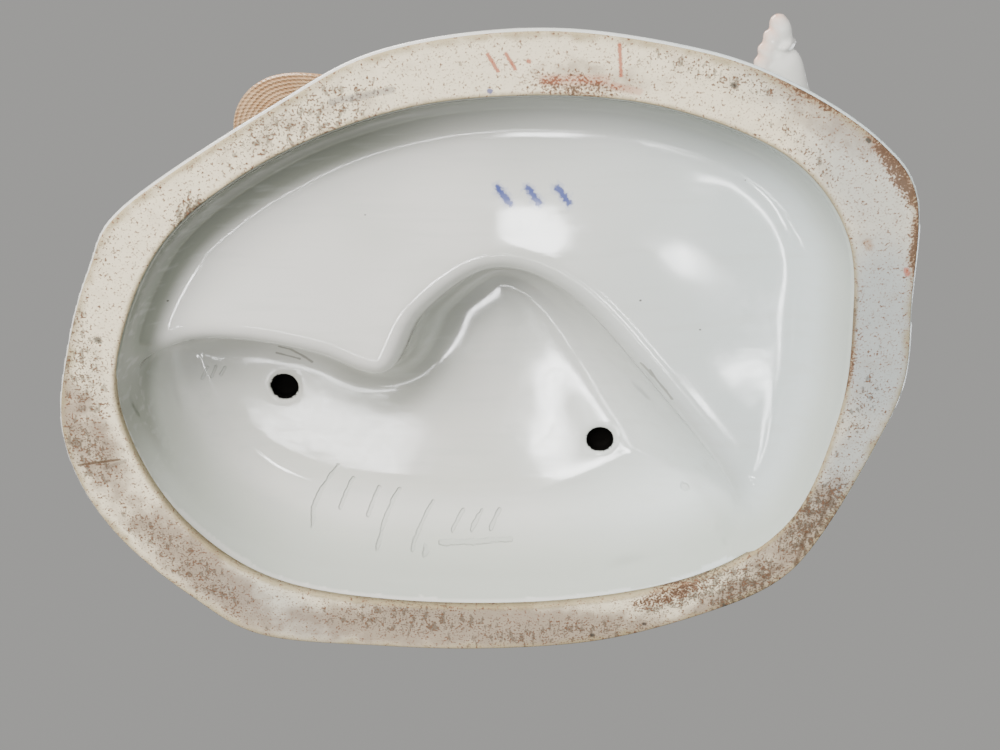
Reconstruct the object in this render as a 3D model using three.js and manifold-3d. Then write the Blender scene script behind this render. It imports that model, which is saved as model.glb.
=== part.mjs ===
// A glazed porcelain shepherd group: a seated shepherdess in a straw hat, a barefoot
// shepherd on a rock and a sheep between them, all fired in one piece with a hollow,
// rocky oval base. Millimetres, +Z up, origin at the middle of the foot ring, front at -Y.
import * as THREE from "three";
import { mergeVertices } from "three/addons/utils/BufferGeometryUtils.js";
import Module from "manifold-3d";

const wasm = await Module();
wasm.setup();

const { cos, sin, PI, min, max } = Math;
const V = (x, y, z = 0) => new THREE.Vector3(x, y, z);

// Base: the foot ring's outer and inner lines, and the line under the two mounds.
const FOOT = [
  [115, 2], [110, 21], [97, 52], [85, 68], [64, 79], [35, 88], [2, 91], [-30, 90], [-65, 86],
  [-85, 72], [-102, 54], [-112, 35], [-115, 15], [-110, -8], [-102, -29], [-91, -46],
  [-51, -72], [-23, -86], [16, -91], [54, -86], [79, -77], [101, -63], [112, -48], [114, -20],
];
const MOUTH = [
  [98, -12], [97, 14], [87, 46], [63, 65], [23, 74], [-24, 74], [-61, 66], [-85, 45],
  [-97, 16], [-95, -8], [-80, -37], [-52, -58], [-17, -71], [20, -74], [50, -70], [78, -58], [94, -38],
];
const DEEP_PART = [
  [-97, 9], [-83, -2], [-66, -3], [-46, 1], [-27, 7], [-16, -11], [3, -24], [24, -17], [47, 8],
  [73, 42], [74, 56], [63, 65], [23, 74], [-24, 74], [-61, 66], [-85, 45],
];
const SIDES = 38; // sides of the base's rings
const SHALLOW = 13; // height of the hollow under the front ground
const DEEP = 40; // height of the hollow under the mounds
const WALL = 7; // wall over the deep hollow
const GROUND = 19; // top of the front ground
const CHAMFER = 0.8; // broken edge of the foot ring
const VENT_RADIUS = 3.6;
const VENT_DEPTH = 48;
const VENTS = [[-59.5, 23.5], [36, 41.5]];

// Figures: lengths of a figure that would stand 236 mm high.
const HEAD = 32;
const FOOT_LENGTH = 36;
const BRIM = 29.5; // radius of the straw hat's brim
const BRIM_BEND = 3.2; // how far the brim is bent up at its sides
const HAT_PLACE = [-63, -13, 160.5];
const LEAF = 10; // length of a leaf, twice the reach of a petal
const BEDS = [[-88, -36, 18], [46, -68, 18], [-2, -79, 18], [97, 2, 18]]; // flowers on the ground

const mix = (a, b, t) => a + (b - a) * t;
const smooth = (t) => t * t * (3 - 2 * t);

// A closed mesh from rings of equal length, with a fan at each end.
function loft(rings) {
  const n = rings[0].length;
  const positions = rings.flat().flatMap((p) => [p.x, p.y, p.z]);
  const index = [];
  for (let r = 1; r < rings.length; r++) {
    for (let i = 0; i < n; i++) {
      const a = (r - 1) * n + i;
      const b = (r - 1) * n + ((i + 1) % n);
      index.push(a, b, b + n, a, b + n, a + n);
    }
  }
  const ends = [[rings[0], 0, true], [rings.at(-1), (rings.length - 1) * n, false]];
  for (const [ring, offset, turned] of ends) {
    const centre = ring.reduce((sum, p) => sum.add(p), V(0, 0)).divideScalar(n);
    const hub = positions.length / 3;
    positions.push(centre.x, centre.y, centre.z);
    for (let i = 0; i < n; i++) {
      const a = offset + i;
      const b = offset + ((i + 1) % n);
      index.push(...(turned ? [hub, b, a] : [hub, a, b]));
    }
  }
  const geometry = new THREE.BufferGeometry();
  geometry.setAttribute("position", new THREE.Float32BufferAttribute(positions, 3));
  geometry.setIndex(index);
  return geometry;
}

// A closed three.js geometry as a solid that can be joined and cut.
function solid(geometry) {
  const bare = geometry.clone();
  for (const name of ["normal", "uv"]) bare.deleteAttribute(name);
  const merged = mergeVertices(bare, 1e-3);
  return new wasm.Manifold(
    new wasm.Mesh({
      numProp: 3,
      vertProperties: new Float32Array(merged.attributes.position.array),
      triVerts: new Uint32Array(merged.index.array),
    }),
  );
}
const join = (geometries) => geometries.map(solid).reduce((all, next) => all.add(next));

// A solid's skin as a three.js geometry.
function skin(made) {
  const { vertProperties, triVerts } = made.getMesh();
  const geometry = new THREE.BufferGeometry();
  geometry.setAttribute("position", new THREE.BufferAttribute(new Float32Array(vertProperties), 3));
  geometry.setIndex(new THREE.BufferAttribute(new Uint32Array(triVerts), 1));
  return geometry;
}

// A closed outline as evenly spaced points.
function outline(points, count = SIDES) {
  const curve = new THREE.CatmullRomCurve3(points.map(([x, y]) => V(x, y)), true, "catmullrom", 0.5);
  return curve.getSpacedPoints(count).slice(0, count);
}

// The outline moved inward (or outward, if negative) and set at a height.
function moved(points, inset, height) {
  const n = points.length;
  return points.map((p, i) => {
    const along = points[(i + 1) % n].clone().sub(points[(i + n - 1) % n]).normalize();
    return V(p.x - along.y * inset, p.y + along.x * inset, height);
  });
}

// Steps of a rounded shoulder: how far in and how far up, from a foot to a flat top.
const shoulder = (run, low, high, steps = 4) =>
  Array.from({ length: steps + 1 }, (_, i) => {
    const angle = (i / steps) * (PI / 2);
    return [run * (1 - cos(angle)), mix(low, high, sin(angle))];
  });

const rounded = (line, start, run, low, high, steps) =>
  shoulder(run, low, high, steps).map(([inset, height]) => moved(line, start + inset, height));

function base() {
  const foot = outline(FOOT);
  const deep = outline(DEEP_PART);
  const mouth = outline(MOUTH);
  const ground = loft([
    moved(foot, CHAMFER, 0), moved(foot, 0, CHAMFER), moved(foot, 1.2, 9),
    ...rounded(foot, 3, 9, 13, GROUND, 2),
  ]);
  const mounds = loft([moved(deep, -9, 8), ...rounded(deep, -WALL, 16, 24, DEEP + WALL, 3)]);
  const shallow = loft([moved(mouth, -0.2, -1), ...rounded(mouth, 0, 14, 0, SHALLOW, 3)]);
  const hollow = loft([moved(deep, 0.5, 2), ...rounded(deep, 0.5, 13, 10, DEEP, 3)]);
  const body = solid(ground).add(solid(mounds)).add(join(rocks()));
  return { body, cuts: [shallow, hollow, ...VENTS.map(vent)].map(solid) };
}

function vent([x, y]) {
  const hole = new THREE.CylinderGeometry(VENT_RADIUS, VENT_RADIUS, VENT_DEPTH, 16);
  return hole.rotateX(PI / 2).translate(x, y, VENT_DEPTH / 2);
}

// A rounded form along a spine of [x, y, z, half width, half depth] stations. Its width
// points along `wide`, and its ripple is a factor on the radius by angle and by place.
function form(stations, options = {}) {
  const { wide = [1, 0, 0], sides = 8, ripple = () => 1, level = false, flat = false } = options;
  const spine = stations.map(([x, y, z]) => V(x, y, z));
  const sizes = stations.map(([, , , w, d = w]) => [w, d]);
  const last = spine.length - 1;
  const ringAt = (k, scale = 1, shift = 0) => {
    const along = spine[min(last, k + 1)].clone().sub(spine[max(0, k - 1)]).normalize();
    if (level) along.set(0, 0, Math.sign(along.z));
    const deep = along.clone().cross(V(...wide)).normalize();
    const across = deep.clone().cross(along);
    const [width, depth] = sizes[k];
    const centre = spine[k].clone().addScaledVector(along, shift * min(width, depth));
    return Array.from({ length: sides }, (_, i) => {
      const angle = (2 * PI * i) / sides;
      const factor = scale * ripple(angle, k / last);
      return centre.clone()
        .addScaledVector(across, width * cos(angle) * factor)
        .addScaledVector(deep, depth * sin(angle) * factor);
    });
  };
  const rings = spine.map((_, k) => ringAt(k));
  if (!flat) {
    rings.unshift(ringAt(0, 0.55, -0.75));
    rings.push(ringAt(last, 0.55, 0.75));
  }
  return loft(rings);
}

const turned = (degrees) => new THREE.Euler(...degrees.map((a) => (a * PI) / 180), "ZYX");

// An ellipsoid, turned by Euler angles in degrees.
function egg([x, y, z], [rx, ry, rz], degrees = [0, 0, 0], sides = 8, rows = 5) {
  return new THREE.SphereGeometry(1, sides, rows)
    .rotateX(PI / 2)
    .scale(rx, ry, rz)
    .applyMatrix4(new THREE.Matrix4().makeRotationFromEuler(turned(degrees)))
    .translate(x, y, z);
}

// Ribs round a form: folds of cloth, locks of hair or bark, wound by `twist` along it.
const ribbed = (ribs, depth, twist = 0) => (angle, t) => 1 + depth * cos(ribs * angle + twist * t);

// Directions of a body that faces `heading` degrees from the front, towards +X.
const acrossAt = (heading) => [cos((heading * PI) / 180), sin((heading * PI) / 180), 0];
const aheadAt = (heading) => [sin((heading * PI) / 180), -cos((heading * PI) / 180), 0];

// Rocks: the two seats, the stones that join them and the small stones round them.
const craggy = (angle, t) => 1 + 0.05 * cos(5 * angle + 4 * t) + 0.03 * cos(8 * angle - 7 * t);

function rocks() {
  const rock = (stations, sides) => form(stations, { sides, ripple: craggy, flat: true });
  return [
    rock([[58, 22, 14, 43, 34], [58, 22, 38, 38, 31], [58, 20, 55, 31, 25], [58, 18, 65, 20, 17]], 16),
    rock([[-56, 26, 14, 46, 40], [-56, 26, 40, 40, 34], [-56, 25, 56, 26, 22]], 14),
    rock([[2, 32, 20, 36, 36], [2, 32, 44, 30, 30], [3, 34, 56, 20, 18]], 14),
    egg([93, -31, 17], [15, 11, 9], [0, 0, 30]),
    egg([36, 40, 43], [20, 16, 15]),
  ];
}

function stump() {
  const bark = (angle, t) => 1 + 0.1 * cos(5 * angle + 3 * t) + 0.05 * cos(9 * angle);
  const trunk = [[0, 46, 36, 21, 17], [1, 46, 56, 15, 13], [-1, 45, 82, 13, 11], [2, 44, 104, 14, 12]];
  const branch = [[6, 44, 84, 6], [18, 40, 99, 5], [24, 36, 112, 4]];
  return [
    form(trunk, { sides: 15, ripple: bark, flat: true }),
    form(branch, { sides: 7, ripple: bark }),
  ];
}

// A bare foot, from the heel on the ground to its five toes.
function foot([x, y, z], heading, left) {
  const ahead = V(...aheadAt(heading));
  const inner = V(...acrossAt(heading)).multiplyScalar(left ? -1 : 1);
  const at = (forward, medial, height) =>
    V(x, y, z + height).addScaledVector(ahead, forward).addScaledVector(inner, medial).toArray();
  const wide = inner.toArray();
  const sole = [
    [...at(1, 0, 4.5), 4.6, 4.5], [...at(10, -0.5, 5), 4.8, 5],
    [...at(20, 0, 4), 6.3, 4], [...at(27, 0.4, 3), 6.6, 3],
  ];
  const instep = [[...at(4, 0, 13), 4.2], [...at(6, 0, 8), 4.6], [...at(14, 0, 6), 4.6]];
  const shapes = [form(sole, { wide }), form(instep, { wide, sides: 6 })];
  const toes = [
    [FOOT_LENGTH - 1.5, 5, 2.5], [33.5, 1.6, 1.9], [32, -1.2, 1.8], [30.3, -3.8, 1.7], [28, -6, 1.6],
  ];
  for (const [forward, medial, radius] of toes) {
    const root = [...at(forward - 7, medial * 0.9, radius), radius];
    const ball = [...at(forward - 1.6 * radius, medial, radius), radius * 1.1];
    const tip = [...at(forward, medial, radius * 0.8), radius * 0.55];
    shapes.push(form([root, ball, tip], { sides: 5, flat: true }));
  }
  return shapes;
}

// A hand from its wrist along `ahead`, palm down `palm`, its closed fingers curled.
function hand(wrist, ahead, palm, { curl = 4, left = false } = {}) {
  const forward = V(...ahead).normalize();
  const down = V(...palm).normalize();
  const side = forward.clone().cross(down).multiplyScalar(left ? -1 : 1);
  const at = (reach, across, drop) =>
    V(...wrist).addScaledVector(forward, reach).addScaledVector(side, across)
      .addScaledVector(down, drop).toArray();
  const palmAndFingers = [
    [...at(0, 0, 0), 3.8, 3], [...at(9, 0, 0), 5.4, 2.8],
    [...at(16, 0, 1.2), 5.2, 2], [...at(22, 0, 1 + curl), 3.6, 1.5],
  ];
  const thumb = [[...at(4, 3.5, 1), 2], [...at(10, 6.7, 2.7), 1.8]];
  return [form(palmAndFingers, { wide: side.toArray(), sides: 7 }), form(thumb, { sides: 5 })];
}

// A head with its hair, turned to a heading and nodding by degrees.
function head([x, y, z], heading, nod, hair) {
  const turn = new THREE.Euler((nod * PI) / 180, 0, (heading * PI) / 180, "ZXY");
  const frame = new THREE.Matrix4().makeRotationFromEuler(turn).setPosition(x, y, z);
  const half = HEAD / 2;
  const jaw = [
    [0, -3, 4, half * 0.66, half * 0.72], [0, -4, -5, half * 0.6, half * 0.6],
    [0, -6.5, -12, half * 0.32, half * 0.3],
  ];
  const nose = [[0, -12.6, 3, 1.2, 1], [0, -14.6, -1.5, 1.9, 1.7]];
  const skull = egg([0, 1, 2], [half * 0.74, half * 0.86, half * 0.86], [0, 0, 0], 9, 6);
  const shapes = [skull, form(jaw), form(nose, { sides: 5 }), ...hair(half)];
  return shapes.map((shape) => shape.applyMatrix4(frame));
}

// Hair combed back to a queue.
function mansHair(half) {
  const cap = [
    [0, 5, 13, half * 0.5], [0, 4.5, 6, half * 0.88, half * 0.78],
    [0, 6, -2, half * 0.84, half * 0.68], [0, 9, -9, half * 0.5, half * 0.4],
  ];
  const queue = [[0, 10, -7, 4.5], [0, 14, -14, 4], [1, 13, -24, 2.2]];
  return [
    form(cap, { sides: 14, ripple: ribbed(7, 0.05, 3) }),
    form(queue, { sides: 6, ripple: ribbed(3, 0.1, 6) }),
  ];
}

// Hair drawn up into a knot, with a long curl behind each ear.
function womansHair(half) {
  const cap = [
    [0, 3, 14, half * 0.5, half * 0.45], [0, 4.5, 7, half * 0.86, half * 0.78],
    [0, 6.5, -1, half * 0.84, half * 0.7], [0, 9, -8, half * 0.55, half * 0.42],
  ];
  const curl = (side) => [[side * 9, 8, -6, 3.2], [side * 9.5, 7, -15, 2.8], [side * 8, 4, -25, 1.8]];
  return [
    form(cap, { sides: 14, ripple: ribbed(7, 0.05, -3) }),
    egg([0, 16, 3], [6.5, 6, 7]),
    ...[-1, 1].map((side) => form(curl(side), { sides: 6, ripple: ribbed(3, 0.14, 9) })),
  ];
}

// A wide straw hat with a low crown, its brim bent down at the front and the back.
function strawHat([x, y, z], degrees) {
  const profile = [[0, -1], [BRIM - 0.5, -2.9], [BRIM, -1.4], [11.4, 1.5], [8.5, 7.4], [0, 8.2]];
  const shape = new THREE.LatheGeometry(profile.map(([r, h]) => new THREE.Vector2(r, h)), 18);
  const place = shape.rotateX(PI / 2).attributes.position;
  for (let i = 0; i < place.count; i++) {
    const bend = (place.getX(i) ** 2 - 0.6 * place.getY(i) ** 2) / BRIM ** 2;
    place.setZ(i, place.getZ(i) + BRIM_BEND * bend);
  }
  const ribbon = form([[0, 0, 2.2, 12.6], [0, 0, 4.6, 12]], { sides: 12, flat: true });
  const turn = new THREE.Matrix4().makeRotationFromEuler(turned(degrees));
  return [shape, ribbon].map((piece) => piece.applyMatrix4(turn).translate(x, y, z));
}

// A five-petalled flower that faces up.
function flower([x, y, z], size, turn = 0) {
  const petals = (angle) => 0.75 + 0.25 * cos(5 * angle + turn);
  const cup = [[x, y, z - size * 0.5, size * 0.3], [x, y, z, size]];
  return form(cup, { sides: 10, ripple: petals, flat: true });
}

// A pointed leaf along a heading, its tip lifted.
function leaf([x, y, z], size, heading) {
  const [dx, dy] = aheadAt(heading);
  const at = (t, lift) => [x + size * t * dx, y + size * t * dy, z + size * lift];
  const blade = [
    [...at(0, 0), size * 0.1, 0.8], [...at(0.45, 0.16), size * 0.3, 1], [...at(1, 0.3), size * 0.06, 0.5],
  ];
  return form(blade, { wide: acrossAt(heading), sides: 4, flat: true });
}

function growth() {
  return BEDS.flatMap(([x, y, z], bed) => [
    leaf([x, y, z], LEAF, bed * 40),
    leaf([x, y, z], LEAF, bed * 40 + 140),
    flower([x, y, z + 2], LEAF / 2, bed),
  ]);
}

function shepherdess() {
  const wide = acrossAt(20);
  const fall = (t) => smooth(min(1, max(0, t * 1.6 - 0.35)));
  const folds = (angle, t) => 1 + fall(t) * (0.075 * cos(9 * angle) + 0.03 * cos(14 * angle + 1));
  const skirt = [
    [-56, 16, 88, 12, 10], [-55, 12, 82, 19, 19], [-50, -4, 77, 28, 35], [-49, -8, 68, 33, 42],
    [-50, -8, 50, 39, 47], [-51, -9, 32, 44, 50], [-52, -9, 16, 48, 52],
  ];
  const apron = [
    [-52, 2, 84, 12, 6], [-45, -22, 80, 18, 16], [-41, -38, 66, 20, 12], [-39, -46, 46, 21, 11],
  ];
  const bodice = [
    [-56, 16, 86, 12.5, 10], [-57, 13, 98, 13, 10.5], [-57, 4, 112, 17, 14],
    [-60, 4, 122, 17, 9], [-60, 2, 128, 9, 7],
  ];
  const sash = [[-57, 13, 90, 13.4, 11], [-57, 13, 94, 13.4, 11]];
  const neck = [[-60, 3, 124, 6.5], [-61, -3, 138, 5.8]];
  // A full sleeve to the elbow, then the bare forearm.
  const arm = (sleeve, bare) => {
    const radii = [8, 9, 8.5, 5, 4.2, 3.6];
    const stations = [...sleeve, ...bare].map((place, i) => [...place, radii[i]]);
    return form(stations, { ripple: ribbed(4, 0.04, 4) });
  };
  const rightWrist = [-56, -38, 88];
  const leftWrist = [-19, -32, 98];
  const shoes = [[-46, -60, 8], [-28, -57, 24]];
  return [
    form(skirt, { wide, sides: 36, ripple: folds, level: true, flat: true }),
    form(apron, { wide, sides: 12, ripple: ribbed(6, 0.04) }),
    form(bodice, { wide, sides: 12 }),
    form(sash, { wide, sides: 12, flat: true }),
    form(neck),
    arm([[-79, -2, 120], [-85, -10, 106], [-82, -20, 94]], [[-78, -24, 91], [-68, -32, 88], rightWrist]),
    ...hand(rightWrist, [0.9, -0.35, -0.15], [0, -0.1, -1], { curl: 3, left: true }),
    arm([[-41, 10, 120], [-30, 2, 106], [-24, -8, 96]], [[-22.5, -13, 95], [-20, -22, 96], leftWrist]),
    ...hand(leftWrist, [0.25, -0.9, 0.3], [-0.6, 0, -0.8]),
    ...head([-62, -8, 147], 14, 22, womansHair),
    ...strawHat(HAT_PLACE, [20, -4, 8]),
    ...shoes.map(([x, y, turn]) => egg([x, y, 22.5], [5, 10, 4], [8, 0, turn], 6, 5)),
  ];
}

function shepherd() {
  const wide = acrossAt(-21);
  const limb = (places, radii) =>
    form(places.map((place, i) => [...place, radii[i]]), { ripple: ribbed(4, 0.04, 5) });
  const legRadii = [13, 11.8, 10, 7.6, 7.6, 5.2, 4.2];
  const armRadii = [8, 8.2, 7.5, 6, 5];
  const jacket = [
    [62, 15, 66, 20, 17], [60, 14, 82, 17.5, 13.5], [56, 12, 98, 18.5, 13.5], [52, 9, 113, 22.5, 14.5],
    [50, 8, 126, 22, 11.5], [49, 7, 132, 13, 10], [48, 5.5, 137, 10, 9],
  ];
  const tails = [[62, 18, 84, 18, 14], [67, 25, 70, 24, 17], [70, 31, 54, 28, 17], [71, 34, 42, 30, 16]];
  const neck = [[50, 6, 130, 7], [46, 3, 146, 6.2]];
  const hat = [[47, 5, 166, 19], [47, 5, 168, 18], [46, 4.5, 171, 10.5], [46, 4, 176, 9]];
  const pipe = [[96, -53, 97, 2], [60, -33, 88, 2.4]];
  const rightLeg = [
    [57, 14, 74], [66, -12, 79], [75, -37, 79], [79, -46, 66], [82, -52, 54], [85, -57, 42], [87.5, -60, 30],
  ];
  const leftLeg = [
    [70, 16, 74], [88, 4, 78], [101, -8, 76], [105, -15, 66], [106, -20, 54], [104, -27, 40], [103, -30, 31],
  ];
  const rightArm = [[29, 16, 126], [18, 8, 114], [10, -3, 104], [4, -16, 108], [0, -26, 112]];
  const leftArm = [[70, 1, 126], [86, -2, 114], [93, -9, 103], [88, -24, 98], [84, -33, 94]];
  const posy = [-12, -44, 119];
  return [
    form(jacket, { wide, sides: 12 }),
    form(tails, { wide: acrossAt(6), sides: 18, ripple: ribbed(6, 0.07), flat: true }),
    form(neck),
    limb(rightLeg, legRadii),
    ...foot([91.5, -59, GROUND + 1.4], -33, false),
    limb(leftLeg, legRadii),
    ...foot([103.5, -27, GROUND + 1.4], 2, true),
    limb(rightArm, armRadii),
    ...hand([-1, -29, 113], [-0.55, -0.75, 0.35], [-0.2, 0.3, -0.9]),
    egg(posy, [6.5, 6, 6]),
    limb(leftArm, armRadii),
    ...hand([83, -36, 93], [-0.55, -0.75, -0.4], [-0.1, 0.3, -0.95], { left: true }),
    form(pipe, { sides: 5 }),
    ...head([44, 1, 155], -52, 12, mansHair),
    form(hat, { sides: 12, flat: true }),
  ];
}

// A sheep that lies with its forelegs stretched out and looks at the shepherdess.
function sheep() {
  const wool = (angle, t) => 1 + 0.06 * cos(7 * angle + 10 * t) + 0.04 * cos(4 * angle - 17 * t);
  const body = [
    [30, -54, 28, 9, 9], [22, -55, 31, 12.5, 11.5], [8, -57, 32, 12.5, 12], [-3, -58, 34, 9.5, 10.5],
  ];
  const neck = [[-2, -58, 38, 7.5], [-8, -59, 48, 6]];
  const face = [[-7, -59, 51, 5.4, 5], [-13, -61, 49, 4.2, 4], [-18, -62.5, 46, 3, 2.8]];
  const ears = [
    [[-6, -54, 51, 1.4, 2.2], [-3, -48, 48, 1.2, 2.6]], [[-7, -64, 51, 1.4, 2.2], [-5, -70, 48, 1.2, 2.6]],
  ];
  const legs = [
    [[-3, -64, 24, 3], [-12, -70, 22, 2.2], [-20, -70, 21.5, 2]],
    [[-2, -52, 24, 3], [-10, -54, 22, 2.2], [-18, -58, 21.5, 2]],
    [[24, -62, 25, 5], [16, -69, 22, 2.6], [8, -71, 21.5, 2]],
  ];
  return [
    form(body, { wide: [0, 1, 0], sides: 14, ripple: wool }),
    form(neck, { sides: 9, ripple: wool }),
    form(face, { sides: 7 }),
    ...[...ears, ...legs].map((stations) => form(stations, { sides: 5 })),
  ];
}

// Pockets that the joined forms close off inside are filled with clay.
const { body, cuts } = base();
const figures = [...shepherdess(), ...shepherd(), ...sheep(), ...stump(), ...growth()];
const outer = body.add(join(figures)).decompose().filter((part) => part.volume() > 0);
const hollowed = cuts.reduce((rest, cut) => rest.subtract(cut), outer.reduce((all, next) => all.add(next)));

const glaze = new THREE.MeshStandardMaterial({ color: 0xf4f5f2, roughness: 0.12, metalness: 0 });
const porcelain = new THREE.Mesh(skin(hollowed), glaze);
porcelain.name = "porcelain_group";

const group = new THREE.Group();
group.add(porcelain);
export default group;
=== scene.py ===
"""A glazed porcelain shepherd group, dressed and lit for a look at its hollow underside.

Millimetres inside the builders, metres in Blender. +Z is up, the front is at -Y.
"""

from __future__ import annotations

import logging
import math
from dataclasses import dataclass, field
from enum import Enum
from typing import Callable, Optional, Sequence

import bpy
import numpy as np
from mathutils import Euler, Matrix, Vector

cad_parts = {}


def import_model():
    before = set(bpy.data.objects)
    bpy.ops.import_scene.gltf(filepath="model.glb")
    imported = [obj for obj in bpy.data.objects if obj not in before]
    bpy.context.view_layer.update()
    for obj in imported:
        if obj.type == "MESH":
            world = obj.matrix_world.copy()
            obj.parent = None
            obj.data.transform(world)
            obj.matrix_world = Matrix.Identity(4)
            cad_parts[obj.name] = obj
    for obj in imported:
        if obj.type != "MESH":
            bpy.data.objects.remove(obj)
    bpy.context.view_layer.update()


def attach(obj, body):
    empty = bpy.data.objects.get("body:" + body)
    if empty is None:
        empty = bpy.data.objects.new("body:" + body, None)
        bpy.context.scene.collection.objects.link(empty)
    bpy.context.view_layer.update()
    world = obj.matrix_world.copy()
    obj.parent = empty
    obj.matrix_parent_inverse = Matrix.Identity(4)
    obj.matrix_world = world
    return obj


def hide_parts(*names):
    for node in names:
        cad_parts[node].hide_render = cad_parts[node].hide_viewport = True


LOG = logging.getLogger("porcelain")
MM = 0.001
FAR = 500.0
TINY = 1e-9
LEAST_RADIUS = 0.15
NODE = "porcelain_group"
BODY = "root"

Array = np.ndarray
Ripple = Callable[[Array, Array], Array]
Row = Sequence[float]
Lines = tuple[tuple[tuple[Sequence[float], ...], float], ...]
Colour = tuple[float, float, float, float]
Material = bpy.types.Material
Socket = bpy.types.NodeSocket


class Slot(Enum):
    """The record's material slots."""

    PORCELAIN = "porcelain"
    BISCUIT = "biscuit"
    ENAMEL = "enamel"


def smooth(share: Array) -> Array:
    """Eases a share of 0 to 1.

    Args:
        share: Values, clipped to 0 to 1.

    Returns:
        The eased values.
    """
    t = np.clip(share, 0.0, 1.0)
    return t * t * (3.0 - 2.0 * t)


def blend_min(a: Array, b: Array, reach: float) -> Array:
    """Joins two distances with a soft fillet.

    Args:
        a: First distances.
        b: Second distances.
        reach: Size of the fillet.

    Returns:
        Distances of the joined shape.
    """
    if reach <= 0:
        return np.minimum(a, b)
    h = np.clip(0.5 + 0.5 * (b - a) / reach, 0.0, 1.0)
    return b + (a - b) * h - reach * h * (1.0 - h)


def spline(rows: Sequence[Row], steps: int, closed: bool = False) -> Array:
    """Runs a smooth curve through rows of numbers.

    Args:
        rows: The numbers to pass through.
        steps: Steps from one row to the next.
        closed: Whether the curve returns to its start.

    Returns:
        The rows of the finer curve.
    """
    known = np.asarray(rows, float)
    count = len(known)
    if closed:
        spans, at = count, lambda k: known[k % count]
    else:
        spans = count - 1
        before, after = 2 * known[0] - known[1], 2 * known[-1] - known[-2]
        padded = np.vstack([before, known, after])
        at = lambda k: padded[k + 1]
    out = []
    for k in range(spans):
        p0, p1, p2, p3 = at(k - 1), at(k), at(k + 1), at(k + 2)
        for i in range(steps):
            t = i / steps
            out.append(
                0.5 * (2 * p1 + (p2 - p0) * t + (2 * p0 - 5 * p1 + 4 * p2 - p3) * t * t
                       + (3 * p1 - p0 - 3 * p2 + p3) * t ** 3)
            )
    if not closed:
        out.append(known[-1])
    return np.array(out)


def stationed(rows: Sequence[Row]) -> Array:
    """Fills in the half depth of stations that give only a half width.

    Args:
        rows: Stations of x, y, z, half width and maybe half depth.

    Returns:
        Stations with all five numbers.
    """
    return np.array([[*row[:4], row[4] if len(row) > 4 else row[3]] for row in rows], float)


def unit_of(way: Row) -> Array:
    """Scales a direction to a length of one.

    Args:
        way: The direction.

    Returns:
        The unit direction.
    """
    line = np.array(way, float)
    return line / np.linalg.norm(line)


def jointed(places: Sequence[Row], radii: Sequence[float]) -> list[Row]:
    """Makes stations of places and radii.

    Args:
        places: The places.
        radii: Their radii.

    Returns:
        The stations.
    """
    return [(*place, radius) for place, radius in zip(places, radii)]


@dataclass(frozen=True)
class Waves:
    """Gentle unevenness made of sine waves in scattered directions.

    Args:
        length: The usual wave length.
        seed: Seed of the directions.
        count: How many waves.
    """

    length: float
    seed: int = 1
    count: int = 10

    def at(self, points: Array) -> Array:
        """Finds the unevenness at points.

        Args:
            points: Places, one a row.

        Returns:
            Values of about -1 to 1.
        """
        rng = np.random.default_rng(self.seed)
        total = np.zeros(len(points))
        for _ in range(self.count):
            way = rng.normal(size=3)
            way *= 2 * math.pi / self.length * rng.uniform(0.6, 1.6) / np.linalg.norm(way)
            total += np.sin(points @ way + rng.uniform(0, 2 * math.pi))
        return total * (1.4 / self.count ** 0.5) * 0.6


@dataclass(frozen=True)
class Part:
    """A part of a solid and the box that it fills.

    Args:
        low: Lowest corner.
        high: Highest corner.
        distance: Distance to the surface at points, negative inside.
    """

    low: Array
    high: Array
    distance: Callable[[Array], Array]


class Solid:
    """A shape that knows how far points are from its surface."""

    def away(self, points: Array) -> Array:
        """Finds the distance to the solid.

        Args:
            points: Places, one a row.

        Returns:
            Distances, negative inside.
        """
        return np.min([part.distance(points) for part in self.parts()], 0)

    def parts(self) -> list[Part]:
        """Lists the parts whose union is the solid.

        Returns:
            The parts.
        """
        raise NotImplementedError


@dataclass
class Shape(Solid):
    """A solid given by its box and its distance function.

    Args:
        low: Lowest corner.
        high: Highest corner.
        distance: Distance to the surface at points, negative inside.
    """

    low: Row
    high: Row
    distance: Callable[[Array], Array]

    def parts(self) -> list[Part]:
        """Gives the solid as one part.

        Returns:
            The part.
        """
        return [Part(np.array(self.low, float), np.array(self.high, float), self.distance)]


def beyond(place: Row, way: Row) -> Shape:
    """Makes a half space for cutting.

    Args:
        place: A place on its plane.
        way: Direction into it.

    Returns:
        The half space.
    """
    start, into = np.array(place, float), unit_of(way)
    return Shape((-300, -300, -300), (300, 300, 300), lambda points: (start - points) @ into)


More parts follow.
